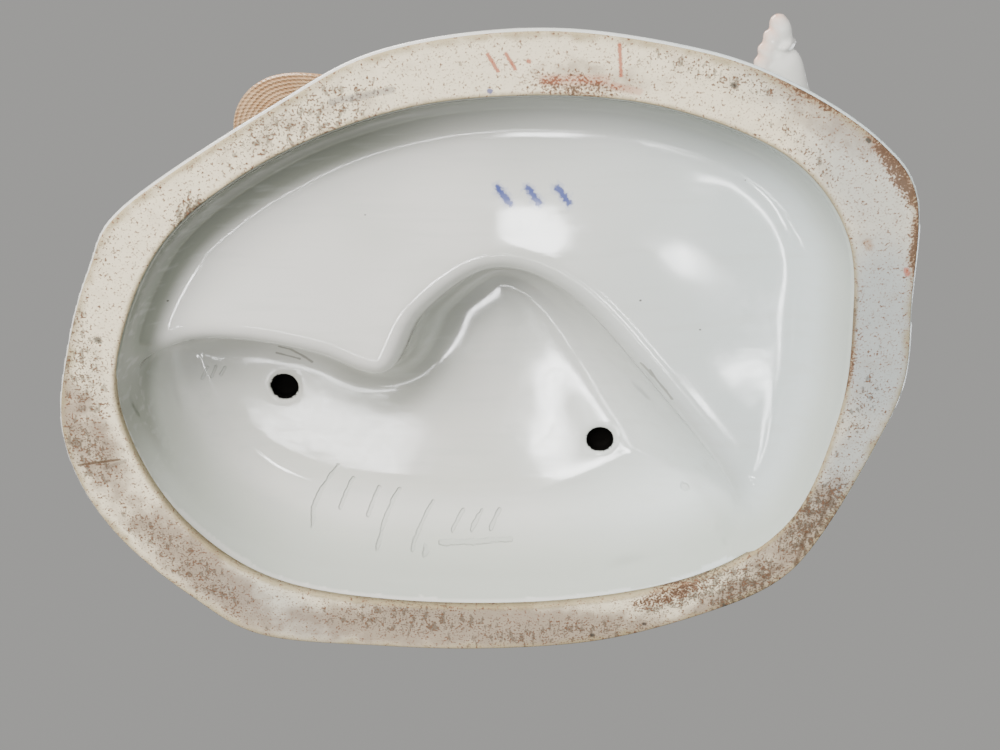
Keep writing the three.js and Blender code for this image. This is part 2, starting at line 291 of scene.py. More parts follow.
@dataclass
class Form(Solid):
    """A rounded form along a spine of (x, y, z, half width, half depth) stations.

    Args:
        stations: The stations.
        wide: Direction of the width.
        ripple: Factor on the radius by angle and by place along the spine.
        flat: Whether the ends are cut square.
        steps: Steps from one station to the next.
    """

    stations: Sequence[Row]
    wide: Row = (1.0, 0.0, 0.0)
    ripple: Optional[Ripple] = None
    flat: bool = False
    steps: int = 4

    def parts(self) -> list[Part]:
        """Lists one part for each short span of the spine.

        Returns:
            The parts.
        """
        table = spline(stationed(self.stations), self.steps)
        spine, sizes = table[:, :3], np.maximum(table[:, 3:], LEAST_RADIUS)
        along = np.gradient(spine, axis=0)
        along /= np.linalg.norm(along, axis=1)[:, None] + TINY
        deep = np.cross(along, np.asarray(self.wide, float))
        deep /= np.linalg.norm(deep, axis=1)[:, None] + TINY
        across = np.cross(deep, along)
        last = len(spine) - 1
        rims = ((spine[0], -along[0]), (spine[-1], along[-1])) if self.flat else ()
        found = []
        for k in range(last):
            reach = sizes[k:k + 2].max() * 1.3
            ends = spine[k:k + 2]
            found.append(Part(
                ends.min(0) - reach, ends.max(0) + reach,
                self._span(k, last, spine, sizes, across, deep, rims),
            ))
        return found

    def _span(self, k: int, last: int, spine: Array, sizes: Array, across: Array, deep: Array,
              rims: Sequence[tuple[Array, Array]]) -> Callable[[Array], Array]:
        """Makes the distance of one span.

        Args:
            k: Number of the span.
            last: Number of the last station.
            spine: Places of the stations.
            sizes: Half widths and half depths.
            across: Directions of the width.
            deep: Directions of the depth.
            rims: Places and outward directions of the square ends.

        Returns:
            The distance function.
        """
        a, way = spine[k], spine[k + 1] - spine[k]
        length = float(np.linalg.norm(way)) + TINY
        unit = way / length

        def distance(points: Array) -> Array:
            """Finds the distance to the span.

            Args:
                points: Places, one a row.

            Returns:
                Distances, negative inside.
            """
            q = points - a
            s = np.clip(q @ unit / length, 0.0, 1.0)
            off = q - s[:, None] * way
            side = (across[k] + (across[k + 1] - across[k]) * 0.5)
            drop = (deep[k] + (deep[k + 1] - deep[k]) * 0.5)
            u, v, axial = off @ side, off @ drop, off @ unit
            w = sizes[k, 0] + (sizes[k + 1, 0] - sizes[k, 0]) * s
            d = sizes[k, 1] + (sizes[k + 1, 1] - sizes[k, 1]) * s
            rho = np.sqrt((u / w) ** 2 + (v / d) ** 2 + (axial / np.minimum(w, d)) ** 2)
            size = np.sqrt(u * u + v * v + axial * axial)
            if self.ripple is not None:
                rho = rho / self.ripple(np.arctan2(v / d, u / w), (k + s) / last)
            found = np.where(rho > 1e-3, size * (1.0 - 1.0 / np.maximum(rho, 1e-3)), -np.minimum(w, d))
            found = np.maximum(found, -np.minimum(w, d))
            for rim, outward in rims:
                found = np.maximum(found, (points - rim) @ outward)
            return found

        return distance


@dataclass
class Tower(Solid):
    """A form with level sections, given from its foot to its top or the other way.

    Args:
        stations: Stations of (x, y, z, half width, half depth).
        wide: Direction of the width.
        ripple: Factor on the radius by angle and by share of the stations.
        soft: Rounding of the rims.
    """

    stations: Sequence[Row]
    wide: Row = (1.0, 0.0, 0.0)
    ripple: Optional[Ripple] = None
    soft: float = 1.5

    def parts(self) -> list[Part]:
        """Gives the tower as one part.

        Returns:
            The part.
        """
        table = spline(stationed(self.stations), 8)
        share = np.linspace(0.0, 1.0, len(table))
        fall = np.sign(table[-1, 2] - table[0, 2])
        order = np.argsort(table[:, 2])
        table, share = table[order], share[order]
        heights = table[:, 2]
        reach = table[:, 3:].max(1) * 1.25
        low = np.array([*(table[:, :2] - reach[:, None]).min(0), heights[0] - 1])
        high = np.array([*(table[:, :2] + reach[:, None]).max(0), heights[-1] + 1])
        across = np.asarray(self.wide, float)
        deep = np.cross([0.0, 0.0, fall], across)

        def distance(points: Array) -> Array:
            """Finds the distance to the tower.

            Args:
                points: Places, one a row.

            Returns:
                Distances, negative inside.
            """
            z = points[:, 2]
            x, y, w, d, t = (np.interp(z, heights, column) for column in
                             (table[:, 0], table[:, 1], table[:, 3], table[:, 4], share))
            off = np.stack([points[:, 0] - x, points[:, 1] - y], 1)
            u, v = off @ across[:2], off @ deep[:2]
            rho = np.sqrt((u / w) ** 2 + (v / d) ** 2)
            size = np.hypot(u, v)
            if self.ripple is not None:
                rho = rho / self.ripple(np.arctan2(v / d, u / w), t)
            side = np.maximum(size * (1.0 - 1.0 / np.maximum(rho, 1e-3)), -np.minimum(w, d)) * 0.85
            ends = np.maximum(heights[0] - z, z - heights[-1])
            return -blend_min(-side, -ends, self.soft)

        return [Part(low, high, distance)]


def turn_matrix(degrees: Row) -> Array:
    """Makes a rotation from turns about x, then y, then z.

    Args:
        degrees: The three turns.

    Returns:
        A 3 by 3 matrix.
    """
    return np.array(Euler([math.radians(a) for a in degrees], "XYZ").to_matrix())


@dataclass
class Egg(Solid):
    """An ellipsoid.

    Args:
        centre: Its middle.
        radii: Its half lengths.
        degrees: Its turns about x, y and z.
        ripple: Factor on the radius by angle about z and by height share.
    """

    centre: Row
    radii: Row
    degrees: Row = (0.0, 0.0, 0.0)
    ripple: Optional[Ripple] = None

    def parts(self) -> list[Part]:
        """Gives the ellipsoid as one part.

        Returns:
            The part.
        """
        centre, radii = np.asarray(self.centre, float), np.asarray(self.radii, float)
        turn = turn_matrix(self.degrees)
        reach = np.sqrt(((turn * radii) ** 2).sum(1)) * 1.12 + 0.3

        def distance(points: Array) -> Array:
            """Finds the distance to the ellipsoid.

            Args:
                points: Places, one a row.

            Returns:
                Distances, negative inside.
            """
            q = (points - centre) @ turn
            n = q / radii
            rho = np.linalg.norm(n, axis=1)
            slope = np.linalg.norm(n / radii, axis=1)
            if self.ripple is not None:
                rho = rho / self.ripple(np.arctan2(n[:, 1], n[:, 0]), n[:, 2] * 0.5 + 0.5)
            steep = np.maximum(slope, 1e-6)
            return np.where(rho > 1e-3, rho * (rho - 1.0) / steep, -radii.min())

        return [Part(centre - reach, centre + reach, distance)]


@dataclass
class Stone(Solid):
    """A stone with flat, softly broken faces.

    Args:
        centre: Its middle.
        radii: Its half lengths.
        seed: Seed of its faces.
        degrees: Its turns about x, y and z.
        faces: How many faces.
        edge: Softness of the edges.
    """

    centre: Row
    radii: Row
    seed: int
    degrees: Row = (0.0, 0.0, 0.0)
    faces: int = 22
    edge: float = 0.045

    def parts(self) -> list[Part]:
        """Gives the stone as one part.

        Returns:
            The part.
        """
        rng = np.random.default_rng(self.seed)
        k = np.arange(self.faces) + 0.5
        polar, around = np.arccos(1 - 2 * k / self.faces), math.pi * (1 + 5 ** 0.5) * k
        normals = np.stack([np.cos(around) * np.sin(polar), np.sin(around) * np.sin(polar), np.cos(polar)],
                           1)
        normals += rng.normal(scale=0.22, size=normals.shape)
        normals /= np.linalg.norm(normals, axis=1)[:, None]
        reach = rng.uniform(0.78, 0.98, self.faces)
        centre, radii = np.asarray(self.centre, float), np.asarray(self.radii, float)
        turn = turn_matrix(self.degrees)
        size = np.sqrt(((turn * radii) ** 2).sum(1)) * 1.2 + 0.3
        planes = (normals / reach[:, None]).T

        def distance(points: Array) -> Array:
            """Finds the distance to the stone.

            Args:
                points: Places, one a row.

            Returns:
                Distances, negative inside.
            """
            n = ((points - centre) @ turn) / radii
            shares = n @ planes
            top = shares.max(1)
            soft = top + self.edge * np.log(np.exp((shares - top[:, None]) / self.edge).sum(1))
            return (soft - 1.0) * radii.min() * 0.95

        return [Part(centre - size, centre + size, distance)]


@dataclass
class Skin:
    """A mesh in the making.

    Args:
        points: Places of the vertices in millimetres.
        faces: Quads as rows of vertex numbers.
        values: Numbers kept at each vertex, by name.
    """

    points: Array
    faces: Array
    values: dict[str, Array] = field(default_factory=dict)

    def eased(self, passes: int) -> "Skin":
        """Smooths the mesh without shrinking it.

        Args:
            passes: How many times.

        Returns:
            The same mesh, smoother.
        """
        ends = np.concatenate([self.faces[:, [i, (i + 1) % 4]] for i in range(4)])
        tips = np.concatenate([ends, ends[:, ::-1]])
        count = np.maximum(np.bincount(tips[:, 0], minlength=len(self.points)), 1)
        for _ in range(passes):
            for share in (0.5, -0.52):
                middle = np.stack([
                    np.bincount(tips[:, 0], self.points[tips[:, 1], axis], len(self.points))
                    for axis in range(3)
                ], 1) / count[:, None]
                self.points = self.points + share * (middle - self.points)
        return self

    def normals(self) -> Array:
        """Finds the direction that each vertex faces.

        Returns:
            Unit directions.
        """
        a, b, c, d = (self.points[self.faces[:, k]] for k in range(4))
        flat = np.cross(c - a, d - b)
        total = np.stack([
            np.bincount(self.faces.ravel(), np.repeat(flat[:, axis], 4), len(self.points))
            for axis in range(3)
        ], 1)
        return total / (np.linalg.norm(total, axis=1)[:, None] + TINY)

    def carved(self, depth: Array) -> "Skin":
        """Moves the surface in or out.

        Args:
            depth: How far out each vertex moves.

        Returns:
            The same mesh, carved.
        """
        self.points = self.points + self.normals() * np.asarray(depth)[:, None]
        return self

    def placed(self, place: Matrix) -> "Skin":
        """Moves the mesh.

        Args:
            place: The 4 by 4 matrix, in millimetres.

        Returns:
            The same mesh, moved.
        """
        matrix = np.array(place)
        self.points = self.points @ matrix[:3, :3].T + matrix[:3, 3]
        return self


def net(values: Array, low: Array, step: float) -> Skin:
    """Wraps the inside of a grid of distances in quads.

    Args:
        values: The distances.
        low: Place of the grid's first corner.
        step: Size of a cell.

    Returns:
        The mesh.
    """
    inside = values < 0
    shape = np.array(values.shape)
    spots, cells = [], []
    for axis in range(3):
        lower = [slice(None)] * 3
        upper = [slice(None)] * 3
        lower[axis], upper[axis] = slice(0, -1), slice(1, None)
        index = np.argwhere(inside[tuple(lower)] != inside[tuple(upper)])
        p, q = (axis + 1) % 3, (axis + 2) % 3
        kept = (index[:, p] > 0) & (index[:, q] > 0)
        kept &= (index[:, p] < shape[p] - 1) & (index[:, q] < shape[q] - 1)
        index = index[kept]
        ahead = index.copy()
        ahead[:, axis] += 1
        first, second = values[tuple(index.T)], values[tuple(ahead.T)]
        spot = index.astype(float)
        spot[:, axis] += first / (first - second)
        corners = []
        for back_p, back_q in ((0, 0), (1, 0), (1, 1), (0, 1)):
            corner = index.copy()
            corner[:, p] -= back_p
            corner[:, q] -= back_q
            corners.append(np.ravel_multi_index(tuple(corner.T), tuple(shape)))
        ring = np.stack(corners, 1)
        flipped = first > 0
        ring[flipped] = ring[flipped][:, ::-1]
        spots.append(spot)
        cells.append(ring)
    ring, spot = np.concatenate(cells), np.concatenate(spots)
    names, number = np.unique(ring.ravel(), return_inverse=True)
    share = np.bincount(number, minlength=len(names))
    repeated = np.repeat(spot, 4, axis=0)
    points = np.stack([np.bincount(number, repeated[:, a], len(names)) / share for a in range(3)], 1)
    return Skin(points * step + low, number.reshape(-1, 4))


@dataclass
class Sculpt:
    """Clay that is added to and cut from in order.

    Args:
        step: Size of the cells that the surface is read from.
        strokes: Each solid, its fillet, and whether it cuts.
    """

    step: float
    strokes: list[tuple[Solid, float, bool]] = field(default_factory=list)

    def add(self, *solids: Solid, blend: float = 1.0) -> "Sculpt":
        """Adds clay.

        Args:
            solids: What is added.
            blend: Size of the fillet.

        Returns:
            The same clay.
        """
        self.strokes += [(solid, blend, False) for solid in solids]
        return self

    def cut(self, *solids: Solid, blend: float = 0.6) -> "Sculpt":
        """Takes clay away.

        Args:
            solids: What is cut.
            blend: Rounding of the cut's edge.

        Returns:
            The same clay.
        """
        self.strokes += [(solid, blend, True) for solid in solids]
        return self

    def skin(self, passes: int = 2) -> Skin:
        """Reads the surface.

        Args:
            passes: Smoothing passes.

        Returns:
            The mesh.
        """
        built = [(solid.parts(), blend, cuts) for solid, blend, cuts in self.strokes]
        added = [part for parts, _, cuts in built if not cuts for part in parts]
        low = np.min([part.low for part in added], 0) - 2.5 * self.step
        high = np.max([part.high for part in added], 0) + 2.5 * self.step
        shape = np.ceil((high - low) / self.step).astype(int) + 1
        values = np.full(shape, FAR, np.float32)
        for parts, blend, cuts in built:
            block = self._window(np.min([p.low for p in parts], 0), np.max([p.high for p in parts], 0),
                                 blend + 2 * self.step, low, shape)
            if any(s.stop <= s.start for s in block):
                continue
            fresh = np.full([s.stop - s.start for s in block], FAR, np.float32)
            for part in parts:
                window = self._window(part.low, part.high, blend + 2 * self.step, low, shape)
                if any(s.stop <= s.start for s in window):
                    continue
                inner = tuple(slice(w.start - b.start, w.stop - b.start) for w, b in zip(window, block))
                axes = [low[a] + self.step * np.arange(window[a].start, window[a].stop) for a in range(3)]
                grid = np.stack(np.meshgrid(*axes, indexing="ij"), -1).reshape(-1, 3)
                found = part.distance(grid).reshape(fresh[inner].shape)
                fresh[inner] = np.minimum(fresh[inner], found)
            if cuts:
                values[block] = -blend_min(-values[block], fresh, blend)
            else:
                values[block] = blend_min(values[block], fresh, blend)
        return net(values, low, self.step).eased(passes)

    def _window(self, bottom: Array, top: Array, margin: float, low: Array,
                shape: Array) -> tuple[slice, slice, slice]:
        """Finds the cells that a box covers.

        Args:
            bottom: Lowest corner of the box.
            top: Highest corner of the box.
            margin: How far to reach beyond it.
            low: Place of the grid's first corner.
            shape: Cells in the grid.

        Returns:
            The cells as three slices.
        """
        first = np.floor((bottom - margin - low) / self.step).astype(int)
        last = np.ceil((top + margin - low) / self.step).astype(int) + 1
        first, last = np.clip(first, 0, shape), np.clip(last, 0, shape)
        return tuple(slice(a, b) for a, b in zip(first, last))


def make_piece(name: str, skin: Skin, finish: Finish,
               slot: Slot = Slot.ENAMEL) -> bpy.types.Object:
    """Turns a mesh into a piece of the object.

    Args:
        name: Name of the piece.
        skin: The mesh.
        finish: What covers it.
        slot: The record's slot of that finish; not used.

    Returns:
        The piece.
    """
    mesh = bpy.data.meshes.new(name)
    count = len(skin.faces)
    mesh.vertices.add(len(skin.points))
    mesh.vertices.foreach_set("co", (skin.points * MM).astype(np.float32).ravel())
    mesh.loops.add(count * 4)
    mesh.loops.foreach_set("vertex_index", skin.faces.astype(np.int32).ravel())
    mesh.polygons.add(count)
    mesh.polygons.foreach_set("loop_start", np.arange(0, count * 4, 4, dtype=np.int32))
    mesh.update(calc_edges=True)
    mesh.validate()
    mesh.polygons.foreach_set("use_smooth", np.ones(len(mesh.polygons), bool))
    for key, numbers in skin.values.items():
        store = mesh.attributes.new(key, "FLOAT", "POINT")
        store.data.foreach_set("value", numbers.astype(np.float32))
    mesh.materials.append(finish.build())
    piece = bpy.data.objects.new(name, mesh)
    bpy.context.scene.collection.objects.link(piece)
    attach(piece, BODY)
    LOG.info("%s: %d triangles", name, 2 * count)
    return piece


def tone(red: int, green: int, blue: int) -> Colour:
    """Turns a screen colour into the renderer's.

    Args:
        red: 0 to 255.
        green: 0 to 255.
        blue: 0 to 255.

    Returns:
        The colour with full opacity.
    """
    shares = (value / 255 for value in (red, green, blue))
    return (*(s / 12.92 if s <= 0.04045 else ((s + 0.055) / 1.055) ** 2.4 for s in shares), 1.0)


class Finish:
    """What a piece is covered with."""

    def build(self) -> Material:
        """Makes the material.

        Returns:
            The material.
        """
        raise NotImplementedError


class Shader:
    """Node by node builder of one finish."""

    def __init__(self, name: str) -> None:
        """Starts a finish.

        Args:
            name: Its name.
        """
        self.material = bpy.data.materials.new(name)
        self.material.use_nodes = True
        self.tree = self.material.node_tree
        self.tree.nodes.clear()
        self.place = self.node("ShaderNodeTexCoord").outputs["Object"]
        self.body = self.node("ShaderNodeBsdfPrincipled")
        out = self.node("ShaderNodeOutputMaterial")
        self.tree.links.new(self.body.outputs[0], out.inputs["Surface"])

    def node(self, kind: str, **settings: object) -> bpy.types.Node:
        """Adds a node.

        Args:
            kind: Its type.
            settings: Its properties.

        Returns:
            The node.
        """
        made = self.tree.nodes.new(kind)
        for key, value in settings.items():
            setattr(made, key, value)
        return made

    def put(self, socket: Socket, value: object) -> None:
        """Links or sets a socket.

        Args:
            socket: The socket.
            value: Another node's output, or a constant.
        """
        if isinstance(value, Socket):
            self.tree.links.new(value, socket)
        else:
            socket.default_value = value

    def set(self, name: str, value: object) -> None:
        """Links or sets an input of the surface.

        Args:
            name: Name of the input.
            value: A node's output, or a constant.
        """
        self.put(self.body.inputs[name], value)

    def math(self, operation: str, *values: object) -> Socket:
        """Does a sum.

        Args:
            operation: Name of the operation.
            values: Node outputs or numbers.

        Returns:
            The result.
        """
        made = self.node("ShaderNodeMath", operation=operation)
        for socket, value in zip(made.inputs, values):
            self.put(socket, value)
        return made.outputs[0]

    def ramp(self, value: object, low: float, high: float, first: float = 0.0,
             last: float = 1.0) -> Socket:
        """Eases a value from one number to another.

        Args:
            value: The value.
            low: Where it starts to change.
            high: Where it has changed.
            first: Result at the start.
            last: Result at the end.

        Returns:
            The eased value.
        """
        made = self.node("ShaderNodeMapRange", interpolation_type="SMOOTHSTEP")
        for socket, number in zip(made.inputs, (value, low, high, first, last)):
            self.put(socket, number)
        return made.outputs[0]

    def noise(self, size: float, detail: float = 3.0, stretch: Optional[Row] = None) -> Socket:
        """Adds clouds.

        Args:
            size: Size of a cloud in millimetres.
            detail: How many finer layers.
            stretch: Factors on the place along x, y and z.

        Returns:
            Values of about 0.3 to 0.7.
        """
        place = self.place
        if stretch is not None:
            scaled = self.node("ShaderNodeVectorMath", operation="MULTIPLY")
            self.put(scaled.inputs[0], place)
            self.put(scaled.inputs[1], stretch)
            place = scaled.outputs[0]
        made = self.node("ShaderNodeTexNoise")
        self.put(made.inputs["Vector"], place)
        self.put(made.inputs["Scale"], 1.0 / (size * MM))
        self.put(made.inputs["Detail"], detail)
        return made.outputs["Fac"]

    def kept(self, name: str) -> Socket:
        """Reads a number kept at the vertices.

        Args:
            name: Its name.

        Returns:
            The number.
        """
        return self.node("ShaderNodeAttribute", attribute_name=name).outputs["Fac"]

    def height(self) -> Socket:
        """Reads the height in millimetres.

        Returns:
            The height.
        """
        split = self.node("ShaderNodeSeparateXYZ")
        self.put(split.inputs[0], self.place)
        return self.math("MULTIPLY", split.outputs[2], 1000.0)

    def mix(self, share: object, first: object, second: object) -> Socket:
        """Mixes two colours.

        Args:
            share: Share of the second.
            first: First colour.
            second: Second colour.

        Returns:
            The colour.
        """
        made = self.node("ShaderNodeMix", data_type="RGBA", clamp_factor=True)
        self.put(made.inputs["Factor"], share)
        self.put(made.inputs[6], first)
        self.put(made.inputs[7], second)
        return made.outputs[2]

    def gap(self, start: Row, end: Row) -> Socket:
        """Finds how far a place is from a short line on the ground plan.

        Args:
            start: Its start in millimetres.
            end: Its end.

        Returns:
            The distance in millimetres.
        """
        way = Vector((end[0] - start[0], end[1] - start[1], 0.0))
        length = max(way.length, 1e-3)
        unit = way / length
        moved = self.node("ShaderNodeVectorMath", operation="MULTIPLY_ADD")
        self.put(moved.inputs[0], self.place)
        self.put(moved.inputs[1], (1000.0, 1000.0, 0.0))
        self.put(moved.inputs[2], (-start[0], -start[1], 0.0))
        along = self.node("ShaderNodeVectorMath", operation="DOT_PRODUCT")
        self.put(along.inputs[0], moved.outputs[0])
        self.put(along.inputs[1], unit)
        held = self.node("ShaderNodeClamp")
        self.put(held.inputs["Value"], along.outputs["Value"])
        self.put(held.inputs["Max"], length)
        nearest = self.node("ShaderNodeVectorMath", operation="SCALE")
        nearest.inputs[0].default_value = unit
        self.put(nearest.inputs["Scale"], held.outputs[0])
        apart = self.node("ShaderNodeVectorMath", operation="DISTANCE")
        self.put(apart.inputs[0], moved.outputs[0])
        self.put(apart.inputs[1], nearest.outputs[0])
        return apart.outputs["Value"]

    def stroke(self, start: Row, end: Row, width: float, wobble: Socket) -> Socket:
        """Draws a short line on the ground plan.

        Args:
            start: Its start in millimetres.
            end: Its end.
            width: Its half width.
            wobble: A value that makes its edge uneven.

        Returns:
            1 on the line and 0 beside it.
        """
        uneven = self.math("MULTIPLY_ADD", wobble, width * 2.4, self.gap(start, end))
        return self.ramp(uneven, width * 1.7, width * 2.7, 1.0, 0.0)

    def bump(self, height: object, strength: float, depth: float) -> None:
        """Roughens the surface.

        Args:
            height: The height.
            strength: How much of it shows.
            depth: How deep it is in millimetres.
        """
        made = self.node("ShaderNodeBump")
        made.inputs["Strength"].default_value = strength
        made.inputs["Distance"].default_value = depth * MM
        self.put(made.inputs["Height"], height)
        self.set("Normal", made.outputs[0])


@dataclass(frozen=True)
class Blob:
    """A soft patch on the ground plan.

    Args:
        x: Its middle.
        y: Its middle.
        length: Its half length.
        width: Its half width.
        turn: Direction of its length in degrees.
        strength: Its greatest strength.
    """

    x: float
    y: float
    length: float
    width: float
    turn: float = 0.0
    strength: float = 1.0

    def at(self, points: Array) -> Array:
        """Finds how strong the patch is at points.

        Args:
            points: Places, one a row.

        Returns:
            0 to the greatest strength.
        """
        a = math.radians(self.turn)
        u, v = points[:, 0] - self.x, points[:, 1] - self.y
        along, beside = u * math.cos(a) + v * math.sin(a), v * math.cos(a) - u * math.sin(a)
        return self.strength * smooth(1.4 - np.hypot(along / self.length, beside / self.width))


def patches(blobs: Sequence[Blob], points: Array) -> Array:
    """Finds the strongest of several patches.

    Args:
        blobs: The patches.
        points: Places, one a row.

    Returns:
        The strengths.
    """
    return np.max([blob.at(points) for blob in blobs], 0)


@dataclass(frozen=True)
class Mark:
    """A thin line on the foot ring.

    Args:
        start: Its start.
        end: Its end.
        width: Its half width.
        colour: Its colour.
        strength: How strongly it covers.
    """

    start: tuple[float, float]
    end: tuple[float, float]
    width: float
    colour: Colour
    strength: float = 0.8


BROWN = tone(88, 66, 48)
RED = tone(176, 82, 52)
BLACK = tone(38, 36, 36)
BLUE = tone(52, 70, 140)


@dataclass(frozen=True)
class Biscuit(Finish):
    """Unglazed porcelain of the foot ring, worn and dirty, with painted shade mostly on its right side.

    Args:
        cream: Colour of the clean clay.
        ring_shade: Colour of the painted shade, a darker cool grey.
        tan: Colour where it is stained.
        olive: Colour of the grime along its edges.
        dirt: Colour of the dirt in its pores.
        rust: Colour of the brown rubbing along its rim.
        marks: Thin lines and dots on it.
    """

    cream: Colour = tone(253, 239, 209)
    ring_shade: Colour = tone(178, 183, 181)
    tan: Colour = tone(144, 125, 110)
    olive: Colour = tone(156, 140, 102)
    dirt: Colour = tone(66, 54, 42)
    rust: Colour = tone(138, 100, 76)
    marks: tuple[Mark, ...] = (
        Mark((2.4, -84.6), (4.8, -80.6), 0.45, RED),
        Mark((6.8, -84.8), (9.0, -81.2), 0.45, RED),
        Mark((12.2, -83.0), (12.4, -82.9), 0.5, RED),
        Mark((34.2, -87.0), (34.8, -79.5), 0.45, RED),
        Mark((16.0, -78.5), (31.0, -78.5), 1.2, RED, 0.35),
        Mark((33.0, -77.0), (39.5, -75.5), 0.9, RED, 0.4),
        Mark((2.7, -75.8), (3.1, -75.6), 0.5, BLUE),
        Mark((-111.0, 28.4), (-99.5, 26.6), 0.35, BROWN),
        Mark((98.4, -18.0), (98.8, -6.0), 0.45, BROWN, 0.55),
        Mark((98.6, -2.0), (98.4, 6.0), 0.4, BROWN, 0.45),
        Mark((-101.4, -9.4), (-101.0, -9.2), 0.9, BLACK),
        Mark((62.2, -77.2), (62.5, -77.0), 0.6, BLACK),
        Mark((96.7, -63.5), (97.0, -63.2), 0.6, BLACK),
        Mark((32.3, 85.1), (32.7, 85.2), 0.6, BLACK),
        Mark((70.5, 74.8), (71.1, 75.0), 0.6, BLACK),
        Mark((47.3, 81.1), (47.7, 81.2), 0.5, BLACK),
        Mark((99.7, -36.5), (100.2, -35.5), 1.1, tone(166, 134, 108), 0.6),
        Mark((110.4, -29.0), (111.0, -28.0), 0.7, RED, 0.7),
        Mark((-36.0, -73.0), (-21.0, -76.0), 0.8, tone(110, 108, 110), 0.5),
        Mark((-98.0, 27.0), (-104.0, 29.5), 0.5, tone(110, 96, 84), 0.5),
        Mark((92.0, 50.0), (90.0, 61.0), 0.6, BROWN, 0.55),
        Mark((97.5, 38.0), (96.0, 47.0), 0.5, BROWN, 0.45),
        Mark((86.0, 61.0), (80.0, 66.0), 0.5, BROWN, 0.45),
    )

    def build(self) -> Material:
        """Makes the material.

        Returns:
            The material.
        """
        s = Shader("unglazed_clay")
        broad, mid, fine = s.noise(26.0, 3.0), s.noise(5.0, 4.0), s.noise(0.62, 2.0)
        clump = s.noise(2.2, 3.0)
        streak = s.noise(1.3, 3.0, (1.0, 0.4, 1.0))
        # Painted shade: the ring turns a darker cool grey away from the light, mostly on its right side.
        colour = s.mix(s.kept("ring_shade"), self.cream, self.ring_shade)
        stain = s.math("MULTIPLY_ADD", s.kept("tan"), 0.55, s.math("MULTIPLY", mid, 0.55))
        colour = s.mix(s.ramp(stain, 0.36, 0.78, 0.0, 0.8), colour, self.tan)
        worn = s.math("MULTIPLY_ADD", mid, 5.0, s.math("MULTIPLY_ADD", fine, 2.4, s.kept("outer")))
        colour = s.mix(s.ramp(worn, 3.4, 6.4, 0.78, 0.0), colour, self.olive)
        lined = s.math("MULTIPLY_ADD", clump, 1.6, s.kept("inner"))
        colour = s.mix(s.ramp(lined, 0.9, 2.3, 0.75, 0.0), colour, self.olive)
        grime = s.kept("grime")
        cloud = s.math("MULTIPLY_ADD", grime, 0.26, mid)
        colour = s.mix(s.ramp(cloud, 0.5, 1.0, 0.0, 0.42), colour, tone(156, 138, 118))
        pores = s.math("MULTIPLY_ADD", grime, 0.17, s.math("MULTIPLY_ADD", clump, 0.36, fine))
        colour = s.mix(s.ramp(pores, 0.83, 0.92, 0.0, 0.72), colour, self.dirt)
        smear = s.math("MULTIPLY_ADD", grime, 0.2, s.math("MULTIPLY_ADD", clump, 0.5, streak))
        colour = s.mix(s.ramp(smear, 0.93, 1.04, 0.0, 0.55), colour, self.dirt)
        crust = s.math("MULTIPLY_ADD", s.kept("rust"), 0.3, s.math("MULTIPLY_ADD", clump, 0.5, fine))
        colour = s.mix(s.ramp(crust, 0.78, 0.98, 0.0, 0.85), colour, self.rust)
        colour = s.mix(s.ramp(crust, 0.94, 1.02, 0.0, 0.6), colour, self.dirt)
        for mark in self.marks:
            line = s.stroke(mark.start, mark.end, mark.width, fine)
            colour = s.mix(s.math("MULTIPLY", line, mark.strength), colour, mark.colour)
        s.set("Base Color", colour)
        s.set("Roughness", s.ramp(broad, 0.3, 0.7, 0.62, 0.8))
        s.set("Specular IOR Level", 0.3)
        grain = s.math("MULTIPLY_ADD", mid, 2.0, s.math("ADD", fine, s.math("MULTIPLY", streak, 0.4)))
        s.bump(grain, 0.35, 0.18)
        return s.material


@dataclass(frozen=True)
class Glaze(Finish):
    """Clear glossy glaze over white porcelain.

    Args:
        name: Name of the material.
        colour: Colour of the body.
        pooled: Colour where the glaze is thick.
        roughness: How blurred its reflections are.
    """

    name: str
    colour: Colour = tone(232, 230, 225)
    pooled: Colour = tone(192, 198, 188)
    roughness: float = 0.09

    def start(self, waviness: float = 0.12) -> tuple[Shader, Socket]:
        """Starts a glazed finish.

        Args:
            waviness: How much the surface ripples.

        Returns:
            The builder and its colour so far.
        """
        s = Shader(self.name)
        broad, fine = s.noise(42.0, 2.0), s.noise(2.2, 2.0)
        colour = s.mix(s.ramp(broad, 0.35, 0.72, 0.0, 0.3), self.colour, self.pooled)
        s.set("Roughness", s.ramp(fine, 0.35, 0.65, self.roughness * 0.8, self.roughness * 1.25))
        s.set("IOR", 1.52)
        s.set("Specular IOR Level", 0.5)
        s.set("Coat Weight", 0.35)
        s.set("Coat Roughness", 0.04)
        s.bump(s.math("MULTIPLY_ADD", fine, 0.12, s.noise(9.0, 1.0)), waviness, 0.5)
        return s, colour


